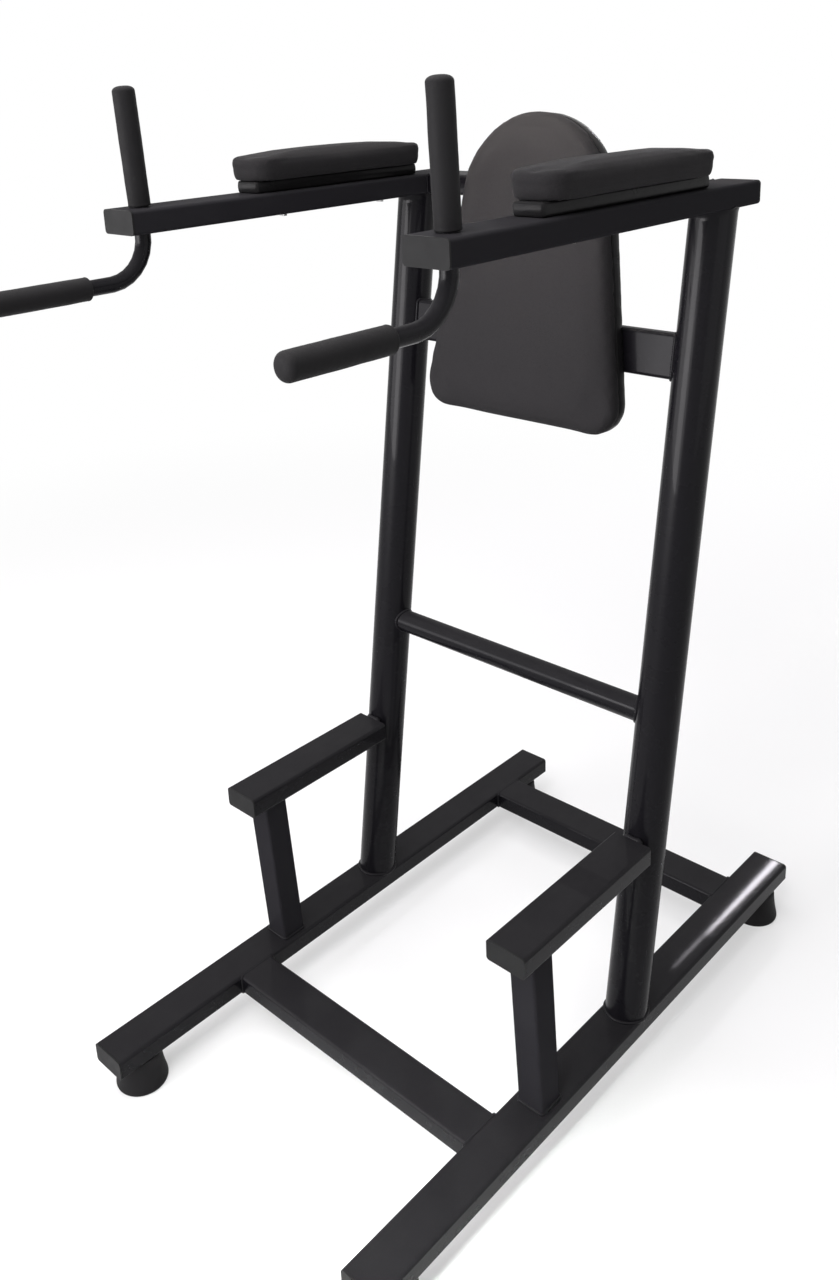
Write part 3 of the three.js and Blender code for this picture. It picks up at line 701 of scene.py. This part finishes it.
def topFlare(side, sign, v):
    # a smooth cove from a leaning pipe out to the flat above it, widest at the front and back,
    # where the flat runs on, and thin at the flat's rounded edges
    across, along = fullTurn(v["steps"])
    share = np.abs(along) ** v["narrowing"]
    width, height = v["least"] + v["width"] * share, v["least"] * 2 + v["height"] * share
    turn = np.linspace(0, math.pi / 2, v["coveSteps"])
    inside = np.full_like(width, -v["inside"])
    reach = np.vstack([inside, np.append(1 - np.cos(turn), 1)[:, None] * width, inside])
    down = np.concatenate([[1], 1 - np.sin(turn), [0, 0]])
    z = armUnderside - down[:, None] * height + v["sink"] * cornerDrop(across * uprightRadius, halfTube)
    z[-2:] += v["above"]
    x = sign * sideX + across * (uprightRadius + np.minimum(reach, v["sideways"]))
    y = uprightPlace(z) + along * (uprightRadius / math.cos(lean) + reach)
    return closedLoop(f"{side}_upright_top_weld", together(x, y, z).transpose(1, 0, 2), v["creaseAngle"])


beamEnd = {"slide": 0.3, "sink": 0.32, "thin": 0.08}   # shares of the drop


def beamEndLoop(sign, low, high, v):
    # round a tube's end on the rounded side of the tube it meets
    middle, size = (low + high) / 2, high - low
    across, up = roundedOutline(size[1], size[2], tubeCorner)[:, :2].T
    drop = cornerDrop(up, size[2] / 2)
    y = middle[1] + across + np.sign(across) * weld["proud"]
    z = middle[2] + up - np.sign(up) * v["sink"] * drop
    return together(sign * (high[0] + v["slide"] * drop), y, z, weld["radius"] - v["thin"] * drop)


def levelLoop(x, y, z, outline, radius):
    # an outline laid flat at a height
    return together(x + outline[:, 0], y + outline[:, 1], z, radius)


def saddleLoop(sign, outline, rise, widest=0.98):
    # an outline seen along X, wrapped onto the upright's pipe: the depth is the pipe's circle at each offset
    back, up = outline[:, 0], outline[:, 1] + rise
    depth = np.sqrt(uprightRadius ** 2 - np.minimum(np.abs(back), widest * uprightRadius) ** 2)
    points = fromLean(together(sign * (sideX - depth - weld["proud"]), back, up))
    return together(*points.T, weld["radius"])


stepEnd = {"width": 0.026, "corner": 0.004, "sideSteps": 16, "place": 0.55, "fill": 0.62}


def stepLoop(sign, low, high, v):
    # round the patch where a platform's square end meets the leaning pipe, thicker as the gap opens upward
    height = high[2] - low[2] - 2 * weld["proud"]
    across, up = roundedOutline(v["width"], height, v["corner"], sideSteps=v["sideSteps"])[:, :2].T
    z = (low[2] + high[2]) / 2 + up
    pipe = uprightPlace(z) - np.sqrt(uprightRadius ** 2 - across ** 2) / math.cos(lean)
    gap = pipe - high[1]
    radius = np.maximum(weld["radius"], v["fill"] * gap)
    return together(sign * sideX + across, high[1] + gap * v["place"], z, radius)


def circleOutline(radius, steps=64):
    return radius * together(*fullTurn(steps))


def middleRise(node):
    # how far up the lean a node's middle is
    return toLean(np.mean(boxOf(node), axis=0))[2]


postCorner = 0.005


def weldLoops(side, sign):
    # every welded joint of one side, by name
    proud, thick, thin = weld["proud"], weld["radius"], weld["thinRadius"]
    postLow, postHigh = boxOf(f"{side}_step_post")
    postWidth = postHigh[0] - postLow[0]
    post = roundedOutline(postWidth + proud, postWidth + proud, postCorner)
    crossLow, crossHigh = boxOf("round_cross_tube")
    gripLow, gripHigh = boxOf(f"{side}_upright_grip_tube")
    gripRadius = (gripHigh[0] - gripLow[0]) / 2
    gripY = gripHigh[1] - gripRadius
    ring, cross = circleOutline(gripRadius + proud), circleOutline((crossHigh[2] - crossLow[2]) / 2)
    bar = roundedOutline(halfTube, 2 * halfTube, tubeCorner)
    x = sign * sideX
    loops = {
        "upright_base": uprightEndLoop(sign, pipeEnd),
        "post_base": levelLoop(x, postHigh[1] - postWidth / 2, postLow[2] + proud, post, thick),
        "post_top": levelLoop(x, postLow[1] + postWidth / 2, postHigh[2] - proud, post, thick),
        "step": stepLoop(sign, *boxOf(f"{side}_step_platform"), stepEnd),
        "cross_tube": saddleLoop(sign, cross, middleRise("round_cross_tube")),
        "pad_bar": saddleLoop(sign, bar, middleRise("pad_bar")),
        "grip": levelLoop(x, gripY, armTop + proud, ring, thin),
        "handle": levelLoop(x, gripY, armUnderside - proud, ring, thin),
    }
    for node in ("front_cross_beam", "rear_cross_beam", "upper_cross_bar"):
        loops[node] = beamEndLoop(sign, *boxOf(node), beamEnd)
    return loops


for side, sign in sides.items():
    for seed, (label, loop) in enumerate(weldLoops(side, sign).items()):
        finishPiece(weldBead(f"{side}_{label}_weld", loop, seed, weld), finishes["paint"], "black_paint")
    finishPiece(topFlare(side, sign, flare), finishes["paint"], "black_paint")
print("weld beads are laid")


# Plates that close the steps' rear ends

endPlate = {"inset": 0.0034, "thickness": 0.003, "edge": 0.0008, "back": 0.0006, "middle": 0.012,
            "corner": 0.0028, "sideSteps": 6}


def makeEndPlate(side, sign, v):
    # a thin rounded plate inside the tube's mouth, from the middle of one face over its rim to the other
    low, high = boxOf(f"{side}_step_platform")
    rings = []
    for inset, depth in ((v["middle"], 0), (v["edge"], 0), (0, v["edge"]), (0, v["thickness"]),
                         (v["middle"], v["thickness"])):
        width, height = (high - low)[[0, 2]] - 2 * (v["inset"] + inset)
        across, up = roundedOutline(width, height, v["corner"], sideSteps=v["sideSteps"])[:, :2].T
        z = (low[2] + high[2]) / 2 + up
        rings.append(together(sign * sideX + across, high[1] - v["back"] - depth, z))
    return closedShell(f"{side}_step_end_plate", np.array(rings))


for side, sign in sides.items():
    finishPiece(makeEndPlate(side, sign, endPlate), finishes["paint"], "black_paint")
print("the steps' rear ends are closed")


# Rubber sleeves of the grips and dip handles

sleeve = {"turns": 96, "boreGap": 0.0003, "lip": 0.0003, "lipLength": 0.004, "mouthRound": 0.0022,
          "mouthSteps": 9, "domeSteps": 14, "domeShape": 0.7, "bodySteps": 60, "swell": 0.00025,
          "endWall": 0.003, "endShare": 0.4, "uneven": 0.00022, "unevenSize": 0.05, "fine": 0.00008,
          "fineSize": 0.009, "outsideFrom": 1.05, "flatTip": 0.0004, "gripLift": 0.0018, "gripDome": 0.0085,
          "handleDome": 0.0095, "gripLeanDegrees": 2.4, "gripSeed": 11, "handleSeed": 17}


def sleeveProfile(radius, bore, length, dome, v):
    # distances along and radii: up the bore, round the mouth, along the slightly swollen body, over the dome
    turn = np.linspace(-math.pi / 2, math.pi / 2, v["mouthSteps"])
    outer = radius + v["lip"]
    middle, half = (outer + bore) / 2, (outer - bore) / 2
    mouth = together(v["mouthRound"] * (1 - np.cos(turn)), middle + half * np.sin(turn))
    share = np.linspace(0, 1, v["bodySteps"] + 1)
    body = together(v["lipLength"] + share * (length - dome - v["lipLength"]),
                    radius + v["swell"] * np.sin(math.pi * share))
    over = np.linspace(0, math.pi / 2, v["domeSteps"] + 1)[1:-1]
    end = together(length - dome + dome * np.sin(over), radius * np.cos(over) ** v["domeShape"])
    depth = length - dome - v["endWall"]
    return np.vstack([[[depth, bore * v["endShare"]], [depth, bore]], mouth, body, end])


def makeSleeve(name, mouth, direction, width, tubeWidth, length, dome, seed, v):
    # the profile turned round its axis, with the slight unevenness of moulded foam
    axis = unit(np.asarray(direction, float))
    first = unit(np.cross(axis, [1.0, 0, 0]))
    bore = tubeWidth / 2 + v["boreGap"]
    profile = sleeveProfile(width / 2 - v["lip"], bore, length, dome, v)
    cosine, sine = fullTurn(v["turns"])
    circle = cosine[:, None] * first + sine[:, None] * np.cross(axis, first)
    rings = np.asarray(mouth) + profile[:, :1, None] * axis + profile[:, 1:, None] * circle
    uneven = (v["uneven"] * waves(rings, v["unevenSize"], seed)
              + v["fine"] * waves(rings, v["fineSize"], seed + 1))
    outside = profile[:, 1:] > bore * v["outsideFrom"]
    return closedShell(name, rings + (uneven * outside)[..., None] * circle)


for side, sign in sides.items():
    tubeLow, tubeHigh = boxOf(f"{side}_upright_grip_tube")
    tubeWidth = tubeHigh[0] - tubeLow[0]
    low, high = boxOf(f"{side}_upright_grip_sleeve")
    gripLean = math.radians(sleeve["gripLeanDegrees"])
    direction = np.array([0, -math.sin(gripLean), math.cos(gripLean)])
    mouth = np.array([sign * sideX, tubeHigh[1] - tubeWidth / 2, armTop]) + sleeve["gripLift"] * direction
    length = (high[2] - armTop) / math.cos(gripLean) - sleeve["gripLift"] - sleeve["flatTip"]
    grip = makeSleeve(f"{side}_upright_grip", mouth, direction, high[0] - low[0], tubeWidth, length,
                      sleeve["gripDome"], sleeve["gripSeed"], sleeve)
    finishPiece(grip, finishes["rubber"], "rubber", f"{side}_upright_grip_sleeve")
    low, high = boxOf(f"{side}_dip_handle_sleeve")
    mouth = (sign * sideX, high[1], (low[2] + high[2]) / 2)
    handle = makeSleeve(f"{side}_dip_handle_grip", mouth, (0, -1, 0), high[2] - low[2], tubeWidth,
                        high[1] - low[1], sleeve["handleDome"], sleeve["handleSeed"], sleeve)
    finishPiece(handle, finishes["rubber"], "rubber", f"{side}_dip_handle_sleeve")
print("grips are made")


# Rubber feet

foot = {"turns": 120, "topRadius": 0.039, "baseRadius": 0.048, "baseRound": 0.007, "topRound": 0.0045,
        "recessRadius": 0.0135, "recessDepth": 0.014, "recessEdge": 0.001, "boreRadius": 0.0055,
        "boreEdge": 0.0008, "waist": 0.0012, "mouldLine": 0.0003, "grooves": 3, "grooveWidth": 0.0022,
        "grooveFloor": 0.6, "grooveDepth": 0.0016, "topGap": 0.0003, "sideSteps": 14, "creaseAngle": 38.0}


def roundedCorner(before, corner, after, radius, steps=7):
    # a smooth bend that leaves each of two straight runs at the radius from their corner
    before, corner, after = (np.asarray(point, float) for point in (before, corner, after))
    start, stop = corner + radius * unit(before - corner), corner + radius * unit(after - corner)
    share = np.linspace(0, 1, steps)[:, None]
    return (1 - share) ** 2 * start + 2 * share * (1 - share) * corner + share ** 2 * stop


def footProfile(v, height):
    # radii and heights: out along the grooved sole, up the tapered side, in over the top and down the bore
    top, recess, bore = height - v["topGap"], v["recessRadius"], v["boreRadius"]
    sole = [[[recess + v["recessEdge"], 0.0]]]
    spacing = (v["baseRadius"] - v["baseRound"] - recess) / (v["grooves"] + 1)
    half, inner = v["grooveWidth"] / 2, v["grooveWidth"] / 2 * v["grooveFloor"]
    for groove in range(v["grooves"]):
        middle = recess + spacing * (groove + 1)
        sole.append([[middle - half, 0], [middle - inner, v["grooveDepth"]],
                     [middle + inner, v["grooveDepth"]], [middle + half, 0]])
    shoulder = (v["topRadius"], top)
    base = roundedCorner((0, 0), (v["baseRadius"], 0), shoulder, v["baseRound"])
    crown = roundedCorner(base[-1], shoulder, (0, top), v["topRound"])
    share = np.linspace(0, 1, v["sideSteps"])[1:-1, None]
    side = base[-1] * (1 - share) + crown[0] * share
    side[:, 0] -= v["waist"] * np.sin(math.pi * share[:, 0])
    side[0, 0] += v["mouldLine"]
    inside = [[bore + v["boreEdge"], top], [bore, top - v["boreEdge"]], [bore, v["recessDepth"]],
              [recess, v["recessDepth"]], [recess, v["recessEdge"]]]
    return np.vstack([*sole, base, side, crown, inside])


def makeFoot(name, low, high, v):
    # the profile turned round the foot's upright axis
    middle = (low + high) / 2
    profile = footProfile(v, railLow[2])
    cosine, sine = fullTurn(v["turns"])
    rings = together(middle[0] + profile[:, :1] * cosine, middle[1] + profile[:, :1] * sine, profile[:, 1:])
    return closedLoop(name, rings, v["creaseAngle"])


for side in sides:
    for end in ("front", "rear"):
        node = f"{side}_{end}_foot"
        finishPiece(makeFoot(f"{node}_rubber", *boxOf(node), foot), finishes["rubber"], "rubber", node)
print("feet are made")


# Pads: covers blown up over foam

def toArray(mesh, key="co"):
    # a value of each of the mesh's points, as rows of three
    values = np.empty(len(mesh.vertices) * 3)
    mesh.vertices.foreach_get(key, values)
    return values.reshape(-1, 3)


def setPoints(piece, points):
    piece.data.vertices.foreach_set("co", np.ascontiguousarray(points).ravel())
    piece.data.update()


def pushOut(piece, lift):
    # each point moves along its own normal
    setPoints(piece, toArray(piece.data) + lift[:, None] * toArray(piece.data, "normal"))


def applyModifiers(piece):
    # the piece's mesh becomes what its modifiers show
    graph = bpy.context.evaluated_depsgraph_get()
    made = bpy.data.meshes.new_from_object(piece.evaluated_get(graph))
    piece.modifiers.clear()
    piece.data = made


def blowUp(piece, held, v):
    # the piece as a cloth cover under pressure, with its held points fixed, after the last frame
    group = piece.vertex_groups.new(name="held")
    group.add(np.flatnonzero(held).tolist(), 1.0, "REPLACE")
    cloth = piece.modifiers.new("cover", "CLOTH")
    cloth.settings.quality = v["quality"]
    cloth.settings.mass = v["mass"]
    cloth.settings.tension_stiffness = cloth.settings.compression_stiffness = v["stiffness"]
    cloth.settings.shear_stiffness = v["stiffness"] / 3
    cloth.settings.bending_stiffness = v["bending"]
    cloth.settings.use_pressure = True
    cloth.settings.uniform_pressure_force = v["pressure"]
    cloth.settings.vertex_group_mass = "held"
    cloth.settings.effector_weights.gravity = 0.0
    cloth.collision_settings.use_collision = False
    cloth.point_cache.frame_start, cloth.point_cache.frame_end = 1, v["frames"]
    for step in range(1, v["frames"] + 1):
        scene.frame_set(step)
    applyModifiers(piece)
    piece.vertex_groups.clear()
    scene.frame_set(1)


def evened(mesh, moved, rounds):
    # each point's move becomes the mean of its own and its neighbours', some rounds over
    edges = np.empty(len(mesh.edges) * 2, dtype=np.int32)
    mesh.edges.foreach_get("vertices", edges)
    first, second = edges.reshape(-1, 2).T
    count = 1 + np.bincount(edges, minlength=len(moved))
    for step in range(rounds):
        total = moved.copy()
        np.add.at(total, first, moved[second])
        np.add.at(total, second, moved[first])
        moved = total / count[:, None]
    return moved


def swollenPad(name, node, toLocal, fromLocal, v):
    # a remeshed copy of the plain pad, drawn in a little, blown up as cloth, capped and divided once; then
    # its shoulders move by "square", most where they face half forward, and it is fitted to the plain box
    piece = newObject(name, frame["nodes"][node].data.copy())
    piece.modifiers.new("joined", "WELD").merge_threshold = smoothing["mergeDistance"]
    applyModifiers(piece)
    local = toLocal(toArray(piece.data))
    low, high = local.min(axis=0), local.max(axis=0)
    axis, sign = v["depthAxis"], v["depthSign"]
    middle = (low + high) / 2
    middle[axis] = low[axis] if sign > 0 else high[axis]
    setPoints(piece, fromLocal(middle + (local - middle) * (1 - np.array(v["drawIn"]) / ((high - low) / 2))))
    remesh = piece.modifiers.new("voxels", "REMESH")
    remesh.mode = "VOXEL"
    remesh.voxel_size = v["voxel"]
    applyModifiers(piece)
    started = toArray(piece.data)
    blowUp(piece, sign * (toLocal(started)[:, axis] - middle[axis]) < v["heldDepth"], v)
    moved = evened(piece.data, toArray(piece.data) - started, v["evening"])
    length = np.linalg.norm(moved, axis=1, keepdims=True)
    print(f"{name} swells {length.max() * 1000:.1f} mm at most, {length.mean() * 1000:.1f} mm on average")
    setPoints(piece, started + moved * np.minimum(1, v["cap"] / np.maximum(length, 1e-9)))
    divided = piece.modifiers.new("finer", "SUBSURF")
    divided.levels = divided.render_levels = 1
    applyModifiers(piece)
    piece.data.shade_smooth()
    local = toLocal(toArray(piece.data))
    normals = toLocal(toArray(piece.data) + toArray(piece.data, "normal")) - local
    ahead = np.clip(sign * normals[:, axis], 0, 1)
    local += (v["square"] * 2 * ahead * np.sqrt(1 - ahead ** 2))[:, None] * normals
    newLow, newHigh = local.min(axis=0), local.max(axis=0)
    low, high = low - v["growLow"], high + v["growHigh"]
    setPoints(piece, fromLocal(low + (local - newLow) * (high - low) / (newHigh - newLow)))
    return piece


def slowSwells(points, depth, v):
    # slow dents and swells over the foam, none where the cover meets the board
    swells = v["unevenness"] * waves(points, v["unevenSize"], v["seed"])
    return swells * np.clip(depth / v["unevenFrom"], 0, 1)


def unchanged(points):
    return np.asarray(points, float)


cover = {"quality": 6, "mass": 0.35, "pressure": 4.0, "frames": 20, "cap": 0.007}
elbowPad = cover | {
    "depthAxis": 2, "depthSign": 1, "drawIn": (0.0015, 0.0015, 0.0008), "voxel": 0.004, "heldDepth": 0.0035,
    "stiffness": 28.0, "bending": 1.2, "evening": 3, "square": 0.0036,
    "growLow": (0.0005, 0.001, 0), "growHigh": (0.0005, 0, 0.002),
    "pleatHeight": 0.016, "pleatDepth": 0.0009, "pleatPitch": 0.0065, "pleatFade": 1.5, "pleatShape": 0.8,
    "cornerReach": 0.03, "cornerGain": 4, "unevenness": 0.0005, "unevenSize": 0.11, "unevenFrom": 0.01,
    "seed": 3}


def gatherCorners(piece, low, high, v):
    # folds round the corners, a sine of the angle that fades with height, on slow unevenness
    points = toArray(piece.data)
    middle, half = (low + high) / 2, (high - low) / 2
    past = np.abs(points[:, :2] - middle[:2]) - (half[:2] - v["cornerReach"])
    atCorner = np.clip(np.clip(past / v["cornerReach"], 0, 1).prod(axis=1) * v["cornerGain"], 0, 1)
    angle = np.arctan2(past[:, 1], past[:, 0])
    height = points[:, 2] - low[2]
    fade = np.clip(1 - height / v["pleatHeight"], 0, 1) ** v["pleatFade"]
    folds = np.abs(np.sin(angle * math.pi * v["cornerReach"] / v["pleatPitch"] / 2)) ** v["pleatShape"]
    pushOut(piece, slowSwells(points, height, v) - v["pleatDepth"] * atCorner * fade * folds)


padReach = {"left": 0.0, "right": 0.009}   # how far a pad runs forward past its plain one

for side in sides:
    node = f"{side}_elbow_pad_cushion"
    grown = elbowPad | {"growLow": np.add(elbowPad["growLow"], (0, padReach[side], 0))}
    pad = swollenPad(f"{side}_elbow_pad", node, unchanged, unchanged, grown)
    gatherCorners(pad, *boxOf(node), elbowPad)
    finishPiece(pad, finishes["vinyl"], "black_vinyl", node)
print("elbow pads are blown up")


backPad = cover | {
    "depthAxis": 1, "depthSign": -1, "drawIn": (0.0025, 0.0012, 0.0025), "voxel": 0.006, "heldDepth": 0.0045,
    "stiffness": 30.0, "bending": 1.5, "evening": 30, "square": -0.001,
    "growLow": (0.004, 0.003, 0), "growHigh": (0.0035, 0, 0.0012),
    "unevenness": 0.0008, "unevenSize": 0.16, "unevenFrom": 0.012, "seed": 8}


def softenBack(piece, v):
    # slow swells by the depth from the cushion's rear
    points = toArray(piece.data)
    leaning = toLean(points)[:, 1]
    pushOut(piece, slowSwells(points, leaning.max() - leaning, v))


def domedOutline(v):
    # two bottom corners and a wide dome, joined by straight runs that touch all three circles
    x, domeY = v["halfWidth"] - v["corner"], v["height"] - v["dome"]
    tilt = math.asin((v["dome"] - v["corner"]) / math.hypot(x, domeY - v["corner"]))
    turn = math.degrees(math.atan2(x, domeY - v["corner"]) - tilt)
    return arcOutline([(x, v["corner"], v["corner"], -90, turn), (0, domeY, v["dome"], turn, 180 - turn),
                       (-x, v["corner"], v["corner"], 180 - turn, 270)], arcSteps=40, sideSteps=70)


# the wedge grows between the low and the high place, and the dome is widened where it is wider than the least
backShape = {"start": 1.04804, "halfWidth": 0.206, "height": 0.534, "corner": 0.052, "plainDome": 0.137,
             "dome": 0.153, "wedge": 0.004, "low": 0.06, "high": 0.4, "least": 0.004}


def backWedge(height):
    # how far the back pad and board stand forward of their plain ones: evenly more up to the dome
    share = (height - backShape["low"]) / (backShape["high"] - backShape["low"])
    return backShape["wedge"] * np.clip(share, 0, 1)


def widenDome(piece, v):
    # each point goes out by the wider outline's half width over the plain one's at its height, and forward
    local = toLean(toArray(piece.data))
    height = local[:, 2] - v["start"]
    halves = []
    for dome in (v["plainDome"], v["dome"]):
        outline = domedOutline({**v, "dome": dome})
        right = outline[outline[:, 0] > v["least"]]
        right = right[np.argsort(right[:, 1])]
        halves.append(np.interp(height, right[:, 1], right[:, 0]))
    local[:, 0] *= halves[1] / halves[0]
    local[:, 1] -= backWedge(height)
    setPoints(piece, fromLean(local))


backCushion = swollenPad("back_pad", "back_pad_cushion", toLean, fromLean, backPad)
widenDome(backCushion, backShape)
softenBack(backCushion, backPad)
finishPiece(backCushion, finishes["vinyl"], "black_vinyl", "back_pad_cushion")
print("back pad is blown up")


# Boards under the pads, wrapped in vinyl

wrap = {"roll": 0.0036, "bulge": 0.0007, "wrinkle": 0.0004, "wrinkleSize": 0.02, "rollSteps": 6,
        "sideSteps": 9, "faceShares": (0.1, 0.5, 0.9), "creaseAngle": 50.0}


def wrapProfile(thickness, v):
    # insets and depths round a board's edge: a quarter roll, a slightly bulged side, a quarter roll
    turn = np.linspace(0, math.pi / 2, v["rollSteps"])
    share = np.linspace(0, 1, v["sideSteps"])[1:-1]
    first = v["roll"] * together(1 - np.sin(turn), 1 - np.cos(turn))
    side = together(-v["bulge"] * np.sin(math.pi * share), v["roll"] + share * (thickness - 2 * v["roll"]))
    last = together(first[::-1, 0], thickness - first[::-1, 1])
    return np.vstack([first, side, last])


def wrappedEdge(outline, place, thickness, around, seed, v):
    # the outline set in and carried to each depth of the profile, then wrinkled outward;
    # place turns outline points and depths into the station's points
    rings = np.array([place(insetLoop(outline, inset), depth) for inset, depth in wrapProfile(thickness, v)])
    return rings + (v["wrinkle"] * waves(rings, v["wrinkleSize"], seed))[..., None] * around


elbowBoard = wrap | {"wrinkle": 0.0002, "corner": 0.005, "arcSteps": 10, "outlineSteps": 40, "seed": 21}
boardReach = {"left": (0.0, 0.0), "right": (0.02, 0.009)}   # how far one runs past its plain one at each end


def makeElbowBoard(name, low, high, v):
    # a wrapped edge about the box's middle, drawn to the middles of the top and the bottom
    middle = (low + high) / 2
    width, length, thickness = high - low
    outline = roundedOutline(width, length, v["corner"], v["arcSteps"], v["outlineSteps"])

    def place(flat, depth):
        return together(*(middle[:2] + flat).T, high[2] - depth)

    rings = wrappedEdge(outline, place, thickness, together(*outline[:, 2:].T, 0.0), v["seed"], v)
    outer = shrunk(rings[-1], reversed(v["faceShares"]))
    return closedShell(name, np.array([*shrunk(rings[0], v["faceShares"]), *rings, *outer]), v["creaseAngle"])


for side in sides:
    node = f"{side}_elbow_pad_board"
    low, high = boxOf(node)
    low[1] -= boardReach[side][0]
    high[1] += boardReach[side][1]
    board = makeElbowBoard(f"{side}_elbow_board", low, high, elbowBoard)
    # the board's cover takes the vinyl whose darker colour is painted shade
    finishPiece(board, finishes["tightVinylPaintedShade"], "covered_board", node)


backBoard = backShape | {
    "inset": 0.0003, "frontDepth": 0.01935, "thickness": 0.02, "halfWidth": 0.2065, "height": 0.5355,
    "seed": 31, "borderInsets": (0.012, 0.024), "fold": 0.038, "foldEdge": 0.001,
    "foldRound": (0.0002, 0.0004), "foldStep": 0.0011, "foldOut": 0.002,
    "foldWander": 0.0035, "foldSize": 0.07, "foldSeed": 5,
    "dent": 0.00035, "dentSize": 0.03, "dentFrom": 0.2, "dentSeed": 9, "panelShares": (0.8, 0.5, 0.1)}


def placeBack(flat, depth):
    # across and up the lean, with the depth backward from the board's front face, which thickens upward
    front = -(backBoard["frontDepth"] + backBoard["thickness"])
    wedge = backWedge(flat[:, 1]) * (1 - depth / backBoard["thickness"])
    return fromLean(together(flat[:, 0], front + depth - wedge, backBoard["start"] + flat[:, 1]))


def foldedBorder(outline, v):
    # the cover's border on the board's rear, in from the edge, then its step down to the bare panel
    wander = v["foldWander"] * waves(placeBack(outline[:, :2], 0), v["foldSize"], v["foldSeed"])
    border = [(inset, 0) for inset in (*v["borderInsets"], v["fold"] - v["foldEdge"])]
    bendOut, bendDown = v["foldRound"]
    border += [(v["fold"], bendDown), (v["fold"] + bendOut, v["foldStep"]),
               (v["fold"] + v["foldOut"], v["foldStep"])]
    rings = []
    for inset, step in border:
        share = inset / v["fold"]
        flat = insetLoop(outline, (inset + wander * min(share, 1))[:, None])
        dents = v["dent"] * (1 + waves(placeBack(flat, 0), v["dentSize"], v["dentSeed"]))
        rings.append(placeBack(flat, v["thickness"] - step - dents * (v["dentFrom"] < share < 1)))
    return rings


def makeBackBoard(v):
    # a wrapped edge, then the folded-over border of the cover, then the bare panel with its own finish
    base = domedOutline(v)
    outline = np.hstack([insetLoop(base, v["inset"]), base[:, 2:]])
    front = placeBack(insetLoop(outline, wrap["roll"]), 0)
    rings = wrappedEdge(outline, placeBack, v["thickness"], unit(front - front.mean(axis=0)), v["seed"], wrap)
    folded = foldedBorder(outline, v)
    panel = shrunk(folded[-1], v["panelShares"])
    allRings = np.array([*shrunk(rings[0], wrap["faceShares"]), *rings, *folded, *panel])
    board = closedShell("back_board", allRings, wrap["creaseAngle"])
    # the cover's darker colour is painted shade
    finishPiece(board, finishes["tightVinylPaintedShade"], "covered_board", "back_pad_board")
    board.data.materials.append(finishes["panel"])
    columns = len(outline)
    bare = np.zeros(len(board.data.polygons), dtype=np.int32)
    bare[(len(allRings) - len(panel) - 2) * columns:(len(allRings) - 1) * columns] = 1
    bare[-columns:] = 1
    board.data.polygons.foreach_set("material_index", bare)
    return outline


backOutline = makeBackBoard(backBoard)
print("boards are wrapped")


# Staples that hold the folded cover on the back board

staple = {"halfWidth": 0.0052, "bend": 0.86, "leg": 0.0012, "rise": 0.00035, "shoulder": 0.2,
          "wire": (0.00062, 0.0004), "sides": 6, "inset": 0.019, "pitch": 0.027, "tilt": 0.22,
          "barMargin": 0.012, "seed": 44}


def makeStaples(v):
    # a bent wire carried to places a pitch apart along the border, each turned by its own small angle,
    # and none where the pad bar lies
    random = np.random.default_rng(v["seed"])
    loop = together(*insetLoop(backOutline, v["inset"]).T, 0.0, *backOutline[:, 2:].T)
    spots = evenLoop(loop, v["pitch"])[0]
    barMiddle = middleRise("pad_bar") - backBoard["start"]
    spots = spots[np.abs(spots[:, 1] - barMiddle) > halfTube + v["barMargin"]]
    x, y = unit(spots[:, 3:5]).T
    tilt = random.uniform(-v["tilt"], v["tilt"], len(spots))
    turned = together(-y * np.cos(tilt) - x * np.sin(tilt), x * np.cos(tilt) - y * np.sin(tilt))
    beside = together(-turned[:, 1], turned[:, 0])
    half = v["halfWidth"] * np.array([-1, -1, -v["bend"], v["bend"], 1, 1])
    rise = v["rise"] * np.array([v["shoulder"], 1])
    path = together(half, np.array([v["leg"], *-rise, *-rise[::-1], v["leg"]]))
    slope = np.gradient(path, axis=0)
    square = unit(together(-slope[:, 1], slope[:, 0]))
    cosine, sine = fullTurn(v["sides"])
    wire = path[..., None] + square[..., None] * v["wire"][1] * sine
    flat = (spots[:, None, None, :2] + wire[None, :, 0, :, None] * turned[:, None, None]
            + v["wire"][0] * cosine[:, None] * beside[:, None, None])
    local = together(flat[..., 0], wire[:, 1] - backBoard["frontDepth"], backBoard["start"] + flat[..., 1])
    wires = fromLean(local).reshape(len(spots), -1, 3)
    ends = np.stack([wires[:, :v["sides"]].mean(axis=1), wires[:, -v["sides"]:].mean(axis=1)], axis=1)
    points = np.concatenate([wires, ends], axis=1)
    template = shellFaces(len(path), v["sides"])
    faces = [[corner + shift for corner in face]
             for shift in range(0, points.size // 3, points.shape[1]) for face in template]
    finishPiece(newMesh("back_pad_staples", points.reshape(-1, 3), faces), finishes["zinc"], "zinc_steel")


makeStaples(staple)
print("staples are in")
